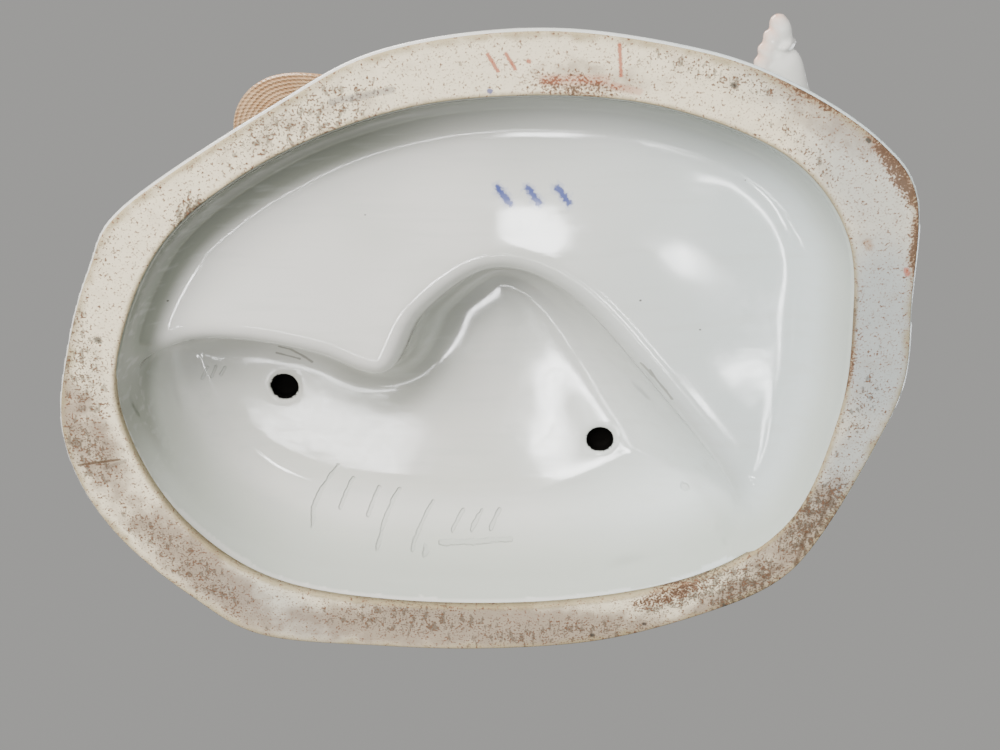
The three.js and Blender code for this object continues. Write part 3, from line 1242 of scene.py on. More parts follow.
@dataclass(frozen=True)
class HollowGlaze(Glaze):
    """Glaze of the base, with its thick places, the specks in it and the strokes pressed below it, and with
    painted light and shade: a cooler tint on its right side, shade on the hollow's walls, step, folds and
    strokes, and black vents.

    Args:
        strokes: Lines pressed into the clay, each a row of places and its half width.
        crease_shade: Dark lines painted as the shade in two folds of the clay, which are not modelled.
        specks: Dark specks.
        dabs: Starts of the blue brush strokes.
    """

    strokes: Lines = (
        (((-44.7, 50.4), (-50.0, 58.1), (-52.2, 62.2), (-52.1, 65.1)), 0.55),
        (((-40.2, 54.7), (-44.1, 63.0)), 0.5),
        (((-32.3, 58.0), (-35.5, 65.2)), 0.5),
        (((-26.1, 58.8), (-30.4, 66.7), (-32.0, 70.5)), 0.55),
        (((-15.6, 62.7), (-19.5, 68.7), (-21.4, 71.4)), 0.5),
        (((-17.6, 72.0), (-17.0, 72.0)), 0.6),
        (((-6.2, 65.2), (-9.3, 69.4)), 0.45),
        (((-0.3, 65.2), (-3.4, 69.4)), 0.45),
        (((5.3, 64.9), (2.6, 69.1)), 0.45),
        (((-13.2, 71.2), (-2.4, 71.3), (8.8, 70.8)), 0.35),
        (((-81.9, 16.7), (-83.6, 20.1)), 0.36),
        (((-79.5, 16.7), (-81.0, 19.9)), 0.36),
        (((-76.9, 17.0), (-78.2, 19.3)), 0.36),
        (((61.7, 54.1), (62.3, 54.0)), 0.8),
    )
    crease_shade: Lines = (
        (((-60.2, 9.8), (-56.7, 10.8), (-53.6, 12.8), (-50.7, 15.0)), 0.36),
        (((-61.0, 12.2), (-54.3, 14.1)), 0.3),
        (((44.4, 3.4), (48.5, 7.9), (51.8, 11.9), (53.6, 14.5)), 0.36),
        (((47.0, 5.3), (50.0, 9.7)), 0.3),
    )
    specks: tuple[Row, ...] = ((-84.3, -16.1), (-65.7, -35.0), (-30.3, -39.7), (69.3, -49.3), (43.3, -15.7),
                               (60.1, -6.9))
    dabs: tuple[Row, ...] = ((4.8, -47.2), (12.6, -47.1), (20.5, -47.1))

    def drawn(self, s: Shader, lines: Lines) -> Socket:
        """Draws lines on the ground plan.

        Args:
            s: The builder.
            lines: The lines, each a row of places and its half width.

        Returns:
            1 on the lines and 0 beside them.
        """
        found: object = 1.0
        for places, width in lines:
            for first, last in zip(places, places[1:]):
                found = s.math("MINIMUM", found, s.math("MULTIPLY", s.gap(first, last), 0.4 / width))
        uneven = s.math("MULTIPLY_ADD", s.noise(3.0, 2.0), 0.96, found)
        return s.ramp(uneven, 0.68, 1.08, 1.0, 0.0)

    def build(self) -> Material:
        """Makes the material.

        Returns:
            The material.
        """
        s, colour = self.start()
        under = s.kept("under")
        pressed = s.math("MULTIPLY", under, self.drawn(s, self.strokes))
        folds = s.math("MULTIPLY", under, self.drawn(s, self.crease_shade))
        # Painted light: the base turns a cooler, bluish white towards its right side, where cooler light
        # falls.
        split = s.node("ShaderNodeSeparateXYZ")
        s.put(split.inputs[0], s.place)
        colour = s.mix(s.ramp(split.outputs[0], -0.01, 0.1, 0.0, 0.85), colour, tone(216, 228, 230))
        swell = s.math("MULTIPLY_ADD", s.noise(22.0, 1.0), 0.17,
                       s.math("MULTIPLY", s.noise(7.0, 1.0), 0.022))
        run = s.math("MULTIPLY_ADD", s.noise(2.4, 2.0, (0.16, 1.0, 1.0)), 0.014, swell)
        relief = s.math("MULTIPLY_ADD", pressed, -0.42, run)
        s.bump(relief, 1.0, 1.0)
        colour = s.mix(s.kept("pool"), colour, self.pooled)
        # Painted shade along the hollow's left and front wall and just beyond the step.
        colour = s.mix(s.kept("shade"), colour, tone(122, 126, 112))
        brushed = s.noise(3.0, 2.0, (0.12, 1.0, 1.0))
        colour = s.mix(s.ramp(brushed, 0.5, 0.72, 0.0, 0.2), colour, tone(207, 210, 204))
        # Painted shade: the pressed strokes are also painted a little darker, as shade in their grooves.
        colour = s.mix(s.math("MULTIPLY", pressed, 0.3), colour, tone(184, 188, 182))
        # Painted shade in the two folds of the clay, drawn as dark lines.
        colour = s.mix(s.math("MULTIPLY", folds, 0.62), colour, tone(112, 108, 98))
        for x, y in self.specks:
            dot = s.stroke((x, y), (x + 0.1, y), 0.22, s.noise(1.0, 2.0))
            colour = s.mix(s.math("MULTIPLY", s.math("MULTIPLY", dot, under), 0.8), colour,
                           tone(70, 64, 58))
        top = s.kept("top")
        moss = s.math("MULTIPLY", top, s.ramp(s.noise(15.0, 4.0), 0.47, 0.6))
        earth = s.math("MULTIPLY", top, s.ramp(s.noise(21.0, 4.0, (1.0, 1.0, 1.7)), 0.48, 0.62))
        colour = s.mix(s.math("MULTIPLY", moss, 0.75), colour, tone(128, 150, 92))
        colour = s.mix(s.math("MULTIPLY", earth, 0.6), colour, tone(168, 138, 104))
        # Painted shade: the vents' wells are painted black and lose their reflections.
        deep = s.ramp(s.kept("well"), 0.2, 0.9)
        colour = s.mix(deep, colour, tone(14, 13, 12))
        for x, y in self.dabs:
            halo = s.stroke((x, y), (x + 3.0, y + 4.2), 1.5, s.noise(1.4, 2.0))
            dab = s.stroke((x, y), (x + 3.0, y + 4.2), 0.8, s.noise(1.0, 2.0))
            colour = s.mix(s.math("MULTIPLY", halo, 0.24), colour, tone(96, 118, 190))
            colour = s.mix(s.math("MULTIPLY", dab, 0.9), colour, tone(38, 58, 142))
        s.set("Base Color", colour)
        s.set("Specular IOR Level", s.ramp(deep, 0.0, 0.6, 0.5, 0.0))
        s.set("Coat Weight", s.ramp(deep, 0.0, 0.6, 0.35, 0.0))
        return s.material


@dataclass
class Outline:
    """A closed line on the ground plan and how far inside it a place is.

    Args:
        points: Points that the line runs through, anticlockwise.
        cell: Size of the lattice that the distances are kept on.
    """

    points: Sequence[Row]
    cell: float = 0.75

    def __post_init__(self) -> None:
        """Fills the lattice with distances."""
        line = spline(self.points, 11, closed=True)
        self.low = line.min(0) - 26.0
        size = np.ceil((line.max(0) + 26.0 - self.low) / self.cell).astype(int) + 2
        axes = [self.low[a] + self.cell * np.arange(size[a]) for a in range(2)]
        grid = np.stack(np.meshgrid(*axes, indexing="ij"), -1).reshape(-1, 2)
        ways = np.roll(line, -1, 0) - line
        squares = (ways ** 2).sum(1)
        kept = []
        for block in np.array_split(grid, max(1, len(grid) // 4000)):
            q = block[:, None, :] - line[None]
            s = np.clip((q * ways).sum(2) / squares, 0.0, 1.0)
            far = np.sqrt(((q - s[..., None] * ways) ** 2).sum(2).min(1))
            starts = line[None, :, 1] > block[:, None, 1]
            ends = np.roll(line, -1, 0)[None, :, 1] > block[:, None, 1]
            rise = np.where(np.abs(ways[:, 1]) < TINY, TINY, ways[:, 1])
            cross = line[None, :, 0] + (block[:, None, 1] - line[None, :, 1]) / rise * ways[:, 0]
            inside = ((starts != ends) & (block[:, None, 0] < cross)).sum(1) % 2 == 1
            kept.append(np.where(inside, far, -far))
        self.table = np.concatenate(kept).reshape(size)

    def inset(self, points: Array) -> Array:
        """Finds how far inside the line places are.

        Args:
            points: Places, one a row; only x and y count.

        Returns:
            Distances, negative outside.
        """
        top = np.array(self.table.shape) - 1.001
        at = np.clip((points[:, :2] - self.low) / self.cell, 0.0, top)
        i, j = np.floor(at).astype(int).T
        u, v = (at - np.floor(at)).T
        first = self.table[i, j] * (1 - v) + self.table[i, j + 1] * v
        second = self.table[i + 1, j] * (1 - v) + self.table[i + 1, j + 1] * v
        return first * (1 - u) + second * u


FOOT_LINE = (
    (115, 2), (110, 21), (97, 52), (85, 68), (64, 79), (35, 88), (2, 91), (-30, 90), (-65, 86),
    (-85, 72), (-102, 54), (-112, 35), (-115, 15), (-110, -8), (-102, -29), (-91, -46),
    (-51, -72), (-23, -86), (16, -91), (54, -86), (79, -77), (101, -63), (112, -48), (114, -20),
)
MOUTH_LINE = (
    (98, -12), (97, 14), (87, 46), (63, 65), (23, 74), (-24, 74), (-61, 66), (-85, 45),
    (-97, 16), (-95, -8), (-80, -37), (-52, -58), (-17, -71), (20, -74), (50, -70), (78, -58), (94, -38),
)
DEEP_LINE = (
    (-97, 9), (-83, -2), (-66, -3), (-46, 1), (-27, 7), (-16, -11), (3, -24), (24, -17), (47, 8),
    (73, 42), (74, 56), (63, 65), (23, 74), (-24, 74), (-61, 66), (-85, 45),
)
VENT_PLACES = ((-59.5, 23.5), (36.0, 41.5))


@dataclass
class Base:
    """The hollow, rocky oval base, from its unglazed foot ring to the ground that the figures sit on.

    Args:
        foot: Outer line of the foot ring.
        mouth: Inner line of the foot ring.
        deep: Line under the mounds, where the hollow steps up.
        shallow_height: Height of the hollow under the front ground.
        deep_height: Height of the hollow under the mounds.
        wall: Wall over the deep hollow.
        ground: Height of the front ground.
        chamfer: Broken edge of the foot ring.
        recess: How far the glaze stops above the foot ring's face.
        lip: Rounding of the hollow's inner edges.
        swelling: How far the ceiling swells beside the step.
        vents: Places of the two vents.
        vent_radius: Radius of a vent.
        vent_cap: Clay left over a vent's blind end.
        well_gap: How far the rocks keep clear of a vent.
        well_top: Height up to which they keep clear.
        ease: How softly a ceiling runs into its curved edge.
        step: Size of the cells that the surface is read from.
        uneven: Gentle unevenness of the ceiling.
        unevenness: How strong it is.
        crags: Roughness of the outside.
        roughness: How strong it is.
        swell_reach: How far from the step the ceiling swells.
        front_run: How far in the ceiling under the front ground curves.
        step_run: How far in the ceiling under the mounds curves.
        step_widening: How much further it curves at the right.
        step_foot: Height at which the step starts.
        shoulder: Height at which the base's edge starts to round.
        mound_foot: Height at which the mounds start to round.
        fillet: Size of the fillet between ground and mounds.
        foot_fillet: Rounding at the foot ring.
    """

    foot: Outline = field(default_factory=lambda: Outline(FOOT_LINE))
    mouth: Outline = field(default_factory=lambda: Outline(MOUTH_LINE))
    deep: Outline = field(default_factory=lambda: Outline(DEEP_LINE))
    shallow_height: float = 13.0
    deep_height: float = 40.0
    wall: float = 7.0
    ground: float = 19.0
    chamfer: float = 0.8
    recess: float = 0.5
    lip: float = 7.0
    swelling: float = 1.7
    vents: Sequence[Row] = VENT_PLACES
    vent_radius: float = 3.9
    vent_cap: float = 2.5
    well_gap: float = 0.5
    well_top: float = 58.0
    ease: float = 0.34
    step: float = 1.25
    uneven: Waves = Waves(34.0, 5, 9)
    unevenness: float = 0.06
    crags: Waves = Waves(13.0, 8, 12)
    roughness: float = 0.55
    swell_reach: float = 15.0
    front_run: float = 14.0
    step_run: float = 13.0
    step_widening: float = 11.0
    step_foot: float = 10.0
    shoulder: float = 13.0
    mound_foot: float = 24.0
    fillet: float = 5.0
    foot_fillet: float = 1.8

    def hollow(self, points: Array) -> Array:
        """Finds the distance to the hollow's surface.

        Args:
            points: Places, one a row.

        Returns:
            Distances, negative in the hollow.
        """
        mouth, deep = self.mouth.inset(points), self.deep.inset(points)
        z = points[:, 2] + self.unevenness * self.uneven.at(points * np.array([1.0, 1.0, 0.3]))
        swell = self.swelling * np.exp(-((np.minimum(deep, 0.0) / self.swell_reach) ** 2))
        raised = z + swell * smooth(mouth / 20.0)
        shallow = self._vault(mouth, self.front_run, raised, 0.0, self.shallow_height)
        soft = self.step_run + self.step_widening * smooth((points[:, 0] - 12.0) / 50.0)
        high = self._vault(deep - 0.5, soft, z, self.step_foot, self.deep_height)
        return blend_min(shallow, high, self.lip)

    def _vault(self, inset: Array, run: Array, z: Array, foot: float, top: float) -> Array:
        """Finds the distance to a ceiling that curves down to its edge.

        Args:
            inset: How far inside the edge places are.
            run: How far in the curve reaches, one number or one a place.
            z: Heights of the places.
            foot: Height at which the curve starts.
            top: Height of the ceiling.

        Returns:
            Distances, negative under the ceiling.
        """
        a = 1.0 - inset / run
        a = (a + np.sqrt(a * a + self.ease ** 2)) / (1.0 + math.sqrt(1.0 + self.ease ** 2))
        b = np.maximum(z - foot, 0.0) / (top - foot)
        size = np.sqrt(a * a + b * b)
        slope = np.sqrt((a / run) ** 2 + (b / (top - foot)) ** 2) / np.maximum(size, 1e-6)
        return (size - 1.0) / np.maximum(slope, 1.0 / np.maximum(run, top - foot))

    def clay(self, points: Array) -> Array:
        """Finds the distance to the base before it is hollowed.

        Args:
            points: Places, one a row.

        Returns:
            Distances, negative in the clay.
        """
        foot, deep = self.foot.inset(points), self.deep.inset(points)
        z = points[:, 2]
        rough = self.crags.at(points) * smooth((z - 3.0) / 8.0)
        lean = np.interp(z, [0.0, self.chamfer, 9.0, self.shoulder], [self.chamfer, 0.0, 2.2, 4.0])
        ground = self._vault(foot - lean, 9.0, z, self.shoulder, self.ground)
        batter = np.interp(z, [8.0, self.mound_foot], [-9.0, -7.0])
        mound = self._vault(deep - batter, 16.0, z, self.mound_foot, self.deep_height + self.wall)
        made = -blend_min(ground, mound, self.fillet) - self.roughness * rough
        return -blend_min(made, z - self.recess, self.foot_fillet)

    def shell(self, points: Array) -> Array:
        """Finds the distance to the finished base.

        Args:
            points: Places, one a row.

        Returns:
            Distances, negative in the clay.
        """
        clay = self.clay(points)
        made = -blend_min(-clay, self.hollow(points), 1.3)
        for x, y in self.vents:
            off = np.hypot(points[:, 0] - x, points[:, 1] - y) - self.vent_radius
            made = -blend_min(-made, np.maximum(off, clay + self.vent_cap), 1.4)
        return made

    def cavity(self, clearance: float = 3.0) -> Shape:
        """Gives the hollow that everything above keeps clear of.

        Args:
            clearance: How far to keep clear.

        Returns:
            The hollow with its two vents.
        """

        def distance(points: Array) -> Array:
            """Finds the distance to the space.

            Args:
                points: Places, one a row.

            Returns:
                Distances, negative in the space.
            """
            return np.minimum(self.hollow(points) - clearance, self.well(points))

        return Shape((-100, -78, -2), (100, 78, 60), distance)

    def seen(self, points: Array) -> Array:
        """Finds how far inside the foot ring's outer line places appear, seen as in the photograph.

        Args:
            points: Places, one a row.

        Returns:
            Distances, negative where a place shows outside the ring.
        """
        return self.foot.inset(self.level(points, 0.0))

    def level(self, points: Array, height: float) -> Array:
        """Finds where places appear on a level plane, seen as in the photograph.

        Args:
            points: Places, one a row.
            height: Height of the plane.

        Returns:
            Places on the plan, one a row.
        """
        eye = np.array(Studio.eye)
        share = (height - eye[2]) / np.maximum(points[:, 2] - eye[2], 1.0)
        return eye[:2] + (points[:, :2] - eye[:2]) * share[:, None]

    def hem(self) -> Shape:
        """Gives the space that low cloth and leaves keep out of.

        Returns:
            The space outside the base's edge.
        """
        return Shape((-130, -100, 4), (130, 20, 60), lambda points: self.seen(points) - 1.2)

    def well(self, points: Array) -> Array:
        """Finds the distance to the vents' wells.

        Args:
            points: Places, one a row.

        Returns:
            Distances, negative in a well.
        """
        off = np.min([np.hypot(points[:, 0] - x, points[:, 1] - y) for x, y in self.vents], 0)
        return np.maximum(off - self.vent_radius - self.well_gap, points[:, 2] - self.well_top)

    def skin(self) -> Skin:
        """Builds the base.

        Returns:
            Its mesh, with what the glaze needs to know kept at the vertices.
        """
        low, high = np.array([-119.0, -95.0, -3.0]), np.array([119.0, 95.0, 51.0])
        made = Sculpt(self.step).add(Shape(tuple(low), tuple(high), self.shell), blend=0.0).skin(2)
        for _ in range(2):
            here = self.shell(made.points)
            slope = np.stack([
                self.shell(made.points + 0.05 * np.eye(3)[axis]) - here for axis in range(3)
            ], 1) / 0.05
            size = np.maximum((slope ** 2).sum(1), 0.3)
            move = -(here / size)[:, None] * slope
            made.points = made.points + np.clip(move, -0.6, 0.6)
        x, y, z = made.points.T
        mouth = self.mouth.inset(made.points)
        under = smooth((2.0 - np.abs(self.hollow(made.points))) / 1.0) * (mouth > -1.0)
        well = np.min([np.hypot(x - a, y - b) for a, b in self.vents], 0)
        # Painted shade: a dark band along the hollow's left and front wall (rim) and just beyond the step
        # (inner), measured as seen from the camera, is kept as shade.
        left = smooth((20.0 - x) / 60.0)
        shown = self.mouth.inset(self.level(made.points, 0.0))
        rim = smooth((11.5 - shown) / 5.5) * (0.3 + 0.7 * left)
        rim = rim * smooth((44.0 - y) / 30.0) * smooth((84.0 - x) / 24.0)
        beyond_edge = self.deep.inset(self.level(made.points, self.shallow_height))
        inner = smooth((17.0 - beyond_edge) / 9.0) * smooth((beyond_edge + 4.0) / 5.0)
        inner = inner * smooth((22.0 - x) / 34.0)
        inner = inner * smooth((52.0 - y) / 24.0) * (0.35 + 0.65 * smooth((x + 52.0) / 16.0))
        inner = inner * smooth((z - 8.0) / 6.0)
        made.values = {
            "under": under,
            "pool": under * smooth((9.0 - mouth) / 9.0) * 0.8,
            "shade": under * np.minimum(0.9 * rim + 0.58 * inner, 0.88),
            "top": (1.0 - under) * smooth((z - 9.0) / 7.0),
            # Painted shade: the vents' blind wells are painted black, with no reflection, as if they ran on
            # into darkness.
            "well": smooth((self.vent_radius + 0.55 - well) / 0.4) * smooth(-self.clay(made.points) - 1.0),
        }
        return made

    def build(self) -> bpy.types.Object:
        """Makes the base.

        Returns:
            The piece.
        """
        return make_piece("base", self.skin(), HollowGlaze("base_glaze"), Slot.PORCELAIN)


def across_at(heading: float) -> tuple[float, float, float]:
    """Finds the sideways direction of a body.

    Args:
        heading: Degrees from the front towards +X.

    Returns:
        The direction.
    """
    return (math.cos(math.radians(heading)), math.sin(math.radians(heading)), 0.0)


def ahead_at(heading: float) -> tuple[float, float, float]:
    """Finds the direction that a body faces.

    Args:
        heading: Degrees from the front towards +X.

    Returns:
        The direction.
    """
    return (math.sin(math.radians(heading)), -math.cos(math.radians(heading)), 0.0)


def ribbed(ribs: int, depth: float, twist: float = 0.0, second: float = 0.0) -> Ripple:
    """Makes ribs round a form: folds of cloth, locks of hair or bark.

    Args:
        ribs: How many.
        depth: How deep, as a share of the radius.
        twist: How far they wind along the form.
        second: Depth of a finer set.

    Returns:
        The factor on the radius.
    """

    def factor(angle: Array, share: Array) -> Array:
        """Finds the factor on the radius.

        Args:
            angle: Angles round the form.
            share: Shares of its length.

        Returns:
            The factors.
        """
        fine = second * np.cos((2 * ribs + 1) * angle - 1.7 * twist * share + 1.0)
        return 1.0 + depth * np.cos(ribs * angle + twist * share) + fine

    return factor


def craggy(angle: Array, share: Array) -> Array:
    """Makes a rock uneven.

    Args:
        angle: Angles round it.
        share: Shares of its height.

    Returns:
        Factors on its radius.
    """
    return 1.0 + 0.05 * np.cos(5 * angle + 4 * share) + 0.03 * np.cos(8 * angle - 7 * share)


class Pattern(Enum):
    """What is painted on an enamel."""

    PLAIN = "plain"
    SPRIGS = "sprigs"
    STRIPES = "stripes"


@dataclass(frozen=True)
class Enamel(Glaze):
    """Painted colour under a glossy surface.

    Args:
        second: Colour of the brush's thin places.
        pattern: What is painted on it.
        accent: Colour of the pattern.
        hem: Height in millimetres below which a border is painted.
        streaks: Size of the brush marks.
        depth: How deep its relief is.
    """

    second: Colour = tone(232, 232, 226)
    pattern: Pattern = Pattern.PLAIN
    accent: Colour = tone(196, 92, 108)
    hem: float = -100.0
    streaks: float = 5.0
    depth: float = 0.14

    def build(self) -> Material:
        """Makes the material.

        Returns:
            The material.
        """
        s, colour = self.start(self.depth)
        brush = s.noise(self.streaks, 4.0, (1.0, 1.0, 0.4))
        colour = s.mix(s.ramp(brush, 0.38, 0.68, 0.0, 0.65), colour, self.second)
        if self.pattern is Pattern.SPRIGS:
            colour = self.sprigs(s, colour)
        if self.pattern is Pattern.STRIPES:
            band = s.node("ShaderNodeTexWave", bands_direction="DIAGONAL")
            s.put(band.inputs["Vector"], s.place)
            s.put(band.inputs["Scale"], 52.0)
            s.put(band.inputs["Distortion"], 1.5)
            colour = s.mix(s.ramp(band.outputs["Fac"], 0.86, 0.97, 0.0, 0.7), colour, self.accent)
        if self.hem > 0:
            level = s.math("MULTIPLY_ADD", s.noise(2.5, 2.0), 2.0, s.height())
            border = s.math("MULTIPLY", s.ramp(level, self.hem, self.hem + 0.3),
                            s.ramp(level, self.hem + 1.8, self.hem + 2.1, 1.0, 0.0))
            colour = s.mix(s.math("MULTIPLY", border, 0.85), colour, self.accent)
        s.set("Base Color", colour)
        return s.material

    def sprigs(self, s: Shader, colour: Socket) -> Socket:
        """Paints scattered flowers with leaves.

        Args:
            s: The builder.
            colour: The colour below.

        Returns:
            The colour with the flowers.
        """
        for size, low, tint, shift in ((11.0, 0.12, tone(96, 134, 84), 0.9), (11.0, 0.17, self.accent, 0.0),
                                       (6.5, 0.09, tone(108, 128, 184), 3.1)):
            moved = self.shifted(s, shift)
            cell = s.node("ShaderNodeTexVoronoi")
            s.put(cell.inputs["Vector"], moved)
            s.put(cell.inputs["Scale"], 1.0 / (size * MM))
            ragged = s.math("MULTIPLY_ADD", s.noise(1.1, 1.0), 0.22, cell.outputs["Distance"])
            colour = s.mix(s.ramp(ragged, low + 0.08, low + 0.13, 0.9, 0.0), colour, tint)
        return colour

    def shifted(self, s: Shader, shift: float) -> Socket:
        """Moves the place that a texture is read at.

        Args:
            s: The builder.
            shift: How far, in millimetres.

        Returns:
            The moved place.
        """
        made = s.node("ShaderNodeVectorMath", operation="ADD")
        s.put(made.inputs[0], s.place)
        s.put(made.inputs[1], (shift * MM, -shift * MM, 0.6 * shift * MM))
        return made.outputs[0]


def painted(name: str, colour: Row, second: Row, streaks: float, **more: object) -> Enamel:
    """Gives an enamel of two screen colours.

    Args:
        name: Name of the material.
        colour: Its colour, three numbers of 0 to 255.
        second: Colour of the brush's thin places.
        streaks: Size of the brush marks.
        more: Other sizes and options of the enamel.

    Returns:
        The enamel.
    """
    return Enamel(name, colour=tone(*colour), second=tone(*second), streaks=streaks, **more)


@dataclass(frozen=True)
class Rockwork(Glaze):
    """White rock with thin washes of brown, violet and green, painted black as shade in the pit over a vent.
    """

    def build(self) -> Material:
        """Makes the material.

        Returns:
            The material.
        """
        s, colour = self.start(0.2)
        for size, low, share, tint in ((16.0, 0.5, 0.66, tone(160, 122, 90)),
                                       (11.0, 0.54, 0.66, tone(112, 138, 82)),
                                       (22.0, 0.56, 0.4, tone(150, 128, 146))):
            cloud = s.math("MULTIPLY_ADD", s.noise(1.8, 3.0), 0.12, s.noise(size, 6.0))
            colour = s.mix(s.ramp(cloud, low + 0.06, low + 0.12, 0.0, share), colour, tint)
        # Painted shade: the pit over a vent is painted black and loses its reflections.
        s.set("Base Color", s.mix(s.ramp(s.kept("well"), 0.3, 0.7), colour, tone(12, 11, 10)))
        s.set("Specular IOR Level", s.ramp(s.kept("well"), 0.1, 0.6, 0.5, 0.0))
        s.set("Coat Weight", s.ramp(s.kept("well"), 0.1, 0.6, 0.3, 0.0))
        return s.material


@dataclass(frozen=True)
class Flesh(Glaze):
    """Bare skin: white porcelain with a breath of colour and painted features.

    Args:
        blush: Colour of cheeks and fingertips.
        iris: Colour of the eyes.
        brow: Colour of the brows and lashes.
    """

    blush: Colour = tone(230, 158, 122)
    iris: Colour = tone(92, 98, 104)
    brow: Colour = tone(124, 92, 66)

    def build(self) -> Material:
        """Makes the material.

        Returns:
            The material.
        """
        s, colour = self.start(0.05)
        colour = s.mix(s.math("MULTIPLY", s.kept("blush"), s.ramp(s.noise(1.6, 2.0), 0.2, 0.8, 0.5, 0.8)),
                       colour, self.blush)
        colour = s.mix(s.ramp(s.kept("lip"), 0.35, 0.75, 0.0, 0.85), colour, tone(206, 104, 92))
        colour = s.mix(s.ramp(s.kept("eye"), 0.3, 0.7, 0.0, 0.95), colour, self.iris)
        colour = s.mix(s.ramp(s.kept("pupil"), 0.3, 0.7, 0.0, 1.0), colour, tone(30, 26, 24))
        colour = s.mix(s.ramp(s.kept("line"), 0.3, 0.7, 0.0, 0.8), colour, self.brow)
        s.set("Base Color", colour)
        return s.material


@dataclass(frozen=True)
class Straw(Glaze):
    """Plaited straw in yellow and tan enamel."""

    def build(self) -> Material:
        """Makes the material.

        Returns:
            The material.
        """
        s, colour = self.start(0.0)
        coil = s.math("SINE", s.math("MULTIPLY", s.kept("ring"), 2 * math.pi / 1.7))
        spoke = s.math("SINE", s.math("MULTIPLY_ADD", s.kept("ring"), 2.6,
                                      s.math("MULTIPLY", s.kept("turn"), 88.0)))
        plait = s.math("MULTIPLY_ADD", spoke, 0.5, coil)
        colour = s.mix(s.ramp(plait, -1.2, 1.2), tone(182, 138, 100), tone(222, 186, 146))
        colour = s.mix(s.ramp(s.noise(9.0, 3.0), 0.4, 0.7, 0.0, 0.55), colour, tone(226, 194, 156))
        s.set("Base Color", colour)
        s.set("Roughness", 0.3)
        s.bump(plait, 0.55, 0.35)
        return s.material


@dataclass
class Rocks:
    """The two seats, the stones that join them and the small stones round them.

    Args:
        base: The base below them.
        step: Size of the cells that the surface is read from.
        seats: Level sections of the two seats and of the rock between them.
        stones: Places and sizes of the stones.
    """

    base: Base
    step: float = 1.4
    seats: tuple[tuple[Row, ...], ...] = (
        ((58, 22, 14, 43, 34), (58, 22, 38, 38, 31), (58, 20, 55, 31, 25), (58, 18, 65, 20, 17)),
        ((-56, 26, 14, 46, 40), (-56, 26, 40, 40, 34), (-56, 25, 56, 26, 22)),
        ((2, 32, 20, 36, 36), (2, 32, 44, 30, 30), (3, 34, 56, 20, 18)),
    )
    stones: tuple[Row, ...] = (
        (93, -30, 18, 10.5), (24, 14, 26, 13), (-20, 10, 26, 12), (-92, 30, 26, 14), (-70, 52, 28, 17),
        (-34, 58, 28, 15), (0, 62, 26, 16), (34, 62, 28, 15), (66, 48, 30, 16), (92, 30, 26, 13),
        (86, 2, 24, 12), (40, -2, 24, 12), (72, 40, 46, 13), (-52, 52, 44, 13), (22, 44, 48, 12),
    )

    def solids(self) -> list[tuple[Solid, float]]:
        """Lists the seats and the stones.

        Returns:
            The solids and the sizes of their fillets.
        """
        made: list[tuple[Solid, float]] = []
        for seat in self.seats:
            made.append((Tower(seat, ripple=craggy, soft=5.0), 3.0))
        made.append((Egg((36, 40, 43), (19, 15.5, 14.5)), 3.0))
        for k, (x, y, z, size) in enumerate(self.stones):
            made.append((Stone((x, y, z), (size * 1.15, size, size * 0.95), 11 + k, (0, 0, 31 * k)), 1.6))
        return made

    def ground(self, x: float, y: float) -> float:
        """Finds how high the ground is.

        Args:
            x: Place on the plan.
            y: Place on the plan.

        Returns:
            The height.
        """
        heights = np.arange(80.0, 8.0, -0.25)
        line = np.column_stack([np.full(len(heights), x), np.full(len(heights), y), heights])
        away = np.minimum(self.base.clay(line), np.min([solid.away(line) for solid, _ in self.solids()], 0))
        return float(heights[int(np.argmax(away < 0))])

    def build(self) -> None:
        """Makes the rocks."""
        clay = Sculpt(self.step)
        for solid, blend in self.solids():
            clay.add(solid, blend=blend)
        clay.cut(self.base.cavity(), blend=1.0)
        made = clay.skin(1)
        # Where the rocks are painted black as shade in the pit over a vent.
        made.values = {"well": smooth((1.2 - self.base.well(made.points)) / 1.0)}
        cracks = np.abs(Waves(15.0, 21, 9).at(made.points))
        grain = Waves(5.0, 4, 12).at(made.points)
        made.carved(0.9 * np.minimum(cracks * 2.2, 1.0) - 0.8 + 0.12 * grain)
        make_piece("rocks", made, Rockwork("rock_washes"))


@dataclass
class Stump:
    """The broken tree trunk between the figures.

    Args:
        base: The base below it.
        step: Size of the cells that the surface is read from.
        trunk: Level sections of the trunk.
        branch: Stations of its branch.
    """

    base: Base
    step: float = 1.0
    trunk: tuple[Row, ...] = ((0, 46, 36, 21, 17), (1, 46, 56, 15, 13), (-1, 45, 82, 13, 11),
                              (2, 44, 104, 14, 12))
    branch: tuple[Row, ...] = ((6, 44, 84, 6), (18, 40, 99, 5), (24, 36, 112, 4))

    def build(self) -> None:
        """Makes the stump."""

        def bark(angle: Array, share: Array) -> Array:
            """Makes bark.

            Args:
                angle: Angles round the trunk.
                share: Shares of its height.

            Returns:
                Factors on its radius.
            """
            return 1.0 + 0.1 * np.cos(5 * angle + 3 * share) + 0.05 * np.cos(9 * angle) \
                + 0.03 * np.cos(17 * angle + 5 * np.sin(7 * share))

        clay = Sculpt(self.step).add(Tower(self.trunk, ripple=bark, soft=2.0))
        clay.add(Form(self.branch, ripple=bark), blend=3.0)
        clay.add(Egg((-12, 37, 70), (5, 3.5, 4.5)), blend=2.0)
        clay.cut(Egg((2, 44, 106), (8.5, 7.0, 4.5)), blend=2.0)
        clay.cut(Egg((-13, 34.5, 70.5), (2.6, 2.4, 2.4)), blend=1.0)
        clay.cut(self.base.cavity(), blend=1.0)
        made = clay.skin(1)
        grooves = np.abs(Waves(7.0, 9, 10).at(made.points * np.array([1.0, 1.0, 0.22])))
        made.carved(0.7 * np.minimum(grooves * 2.5, 1.0) - 0.5)
        finish = painted("bark", (176, 142, 108), (216, 200, 176), 9.0, depth=0.3)
        make_piece("stump", made, finish)


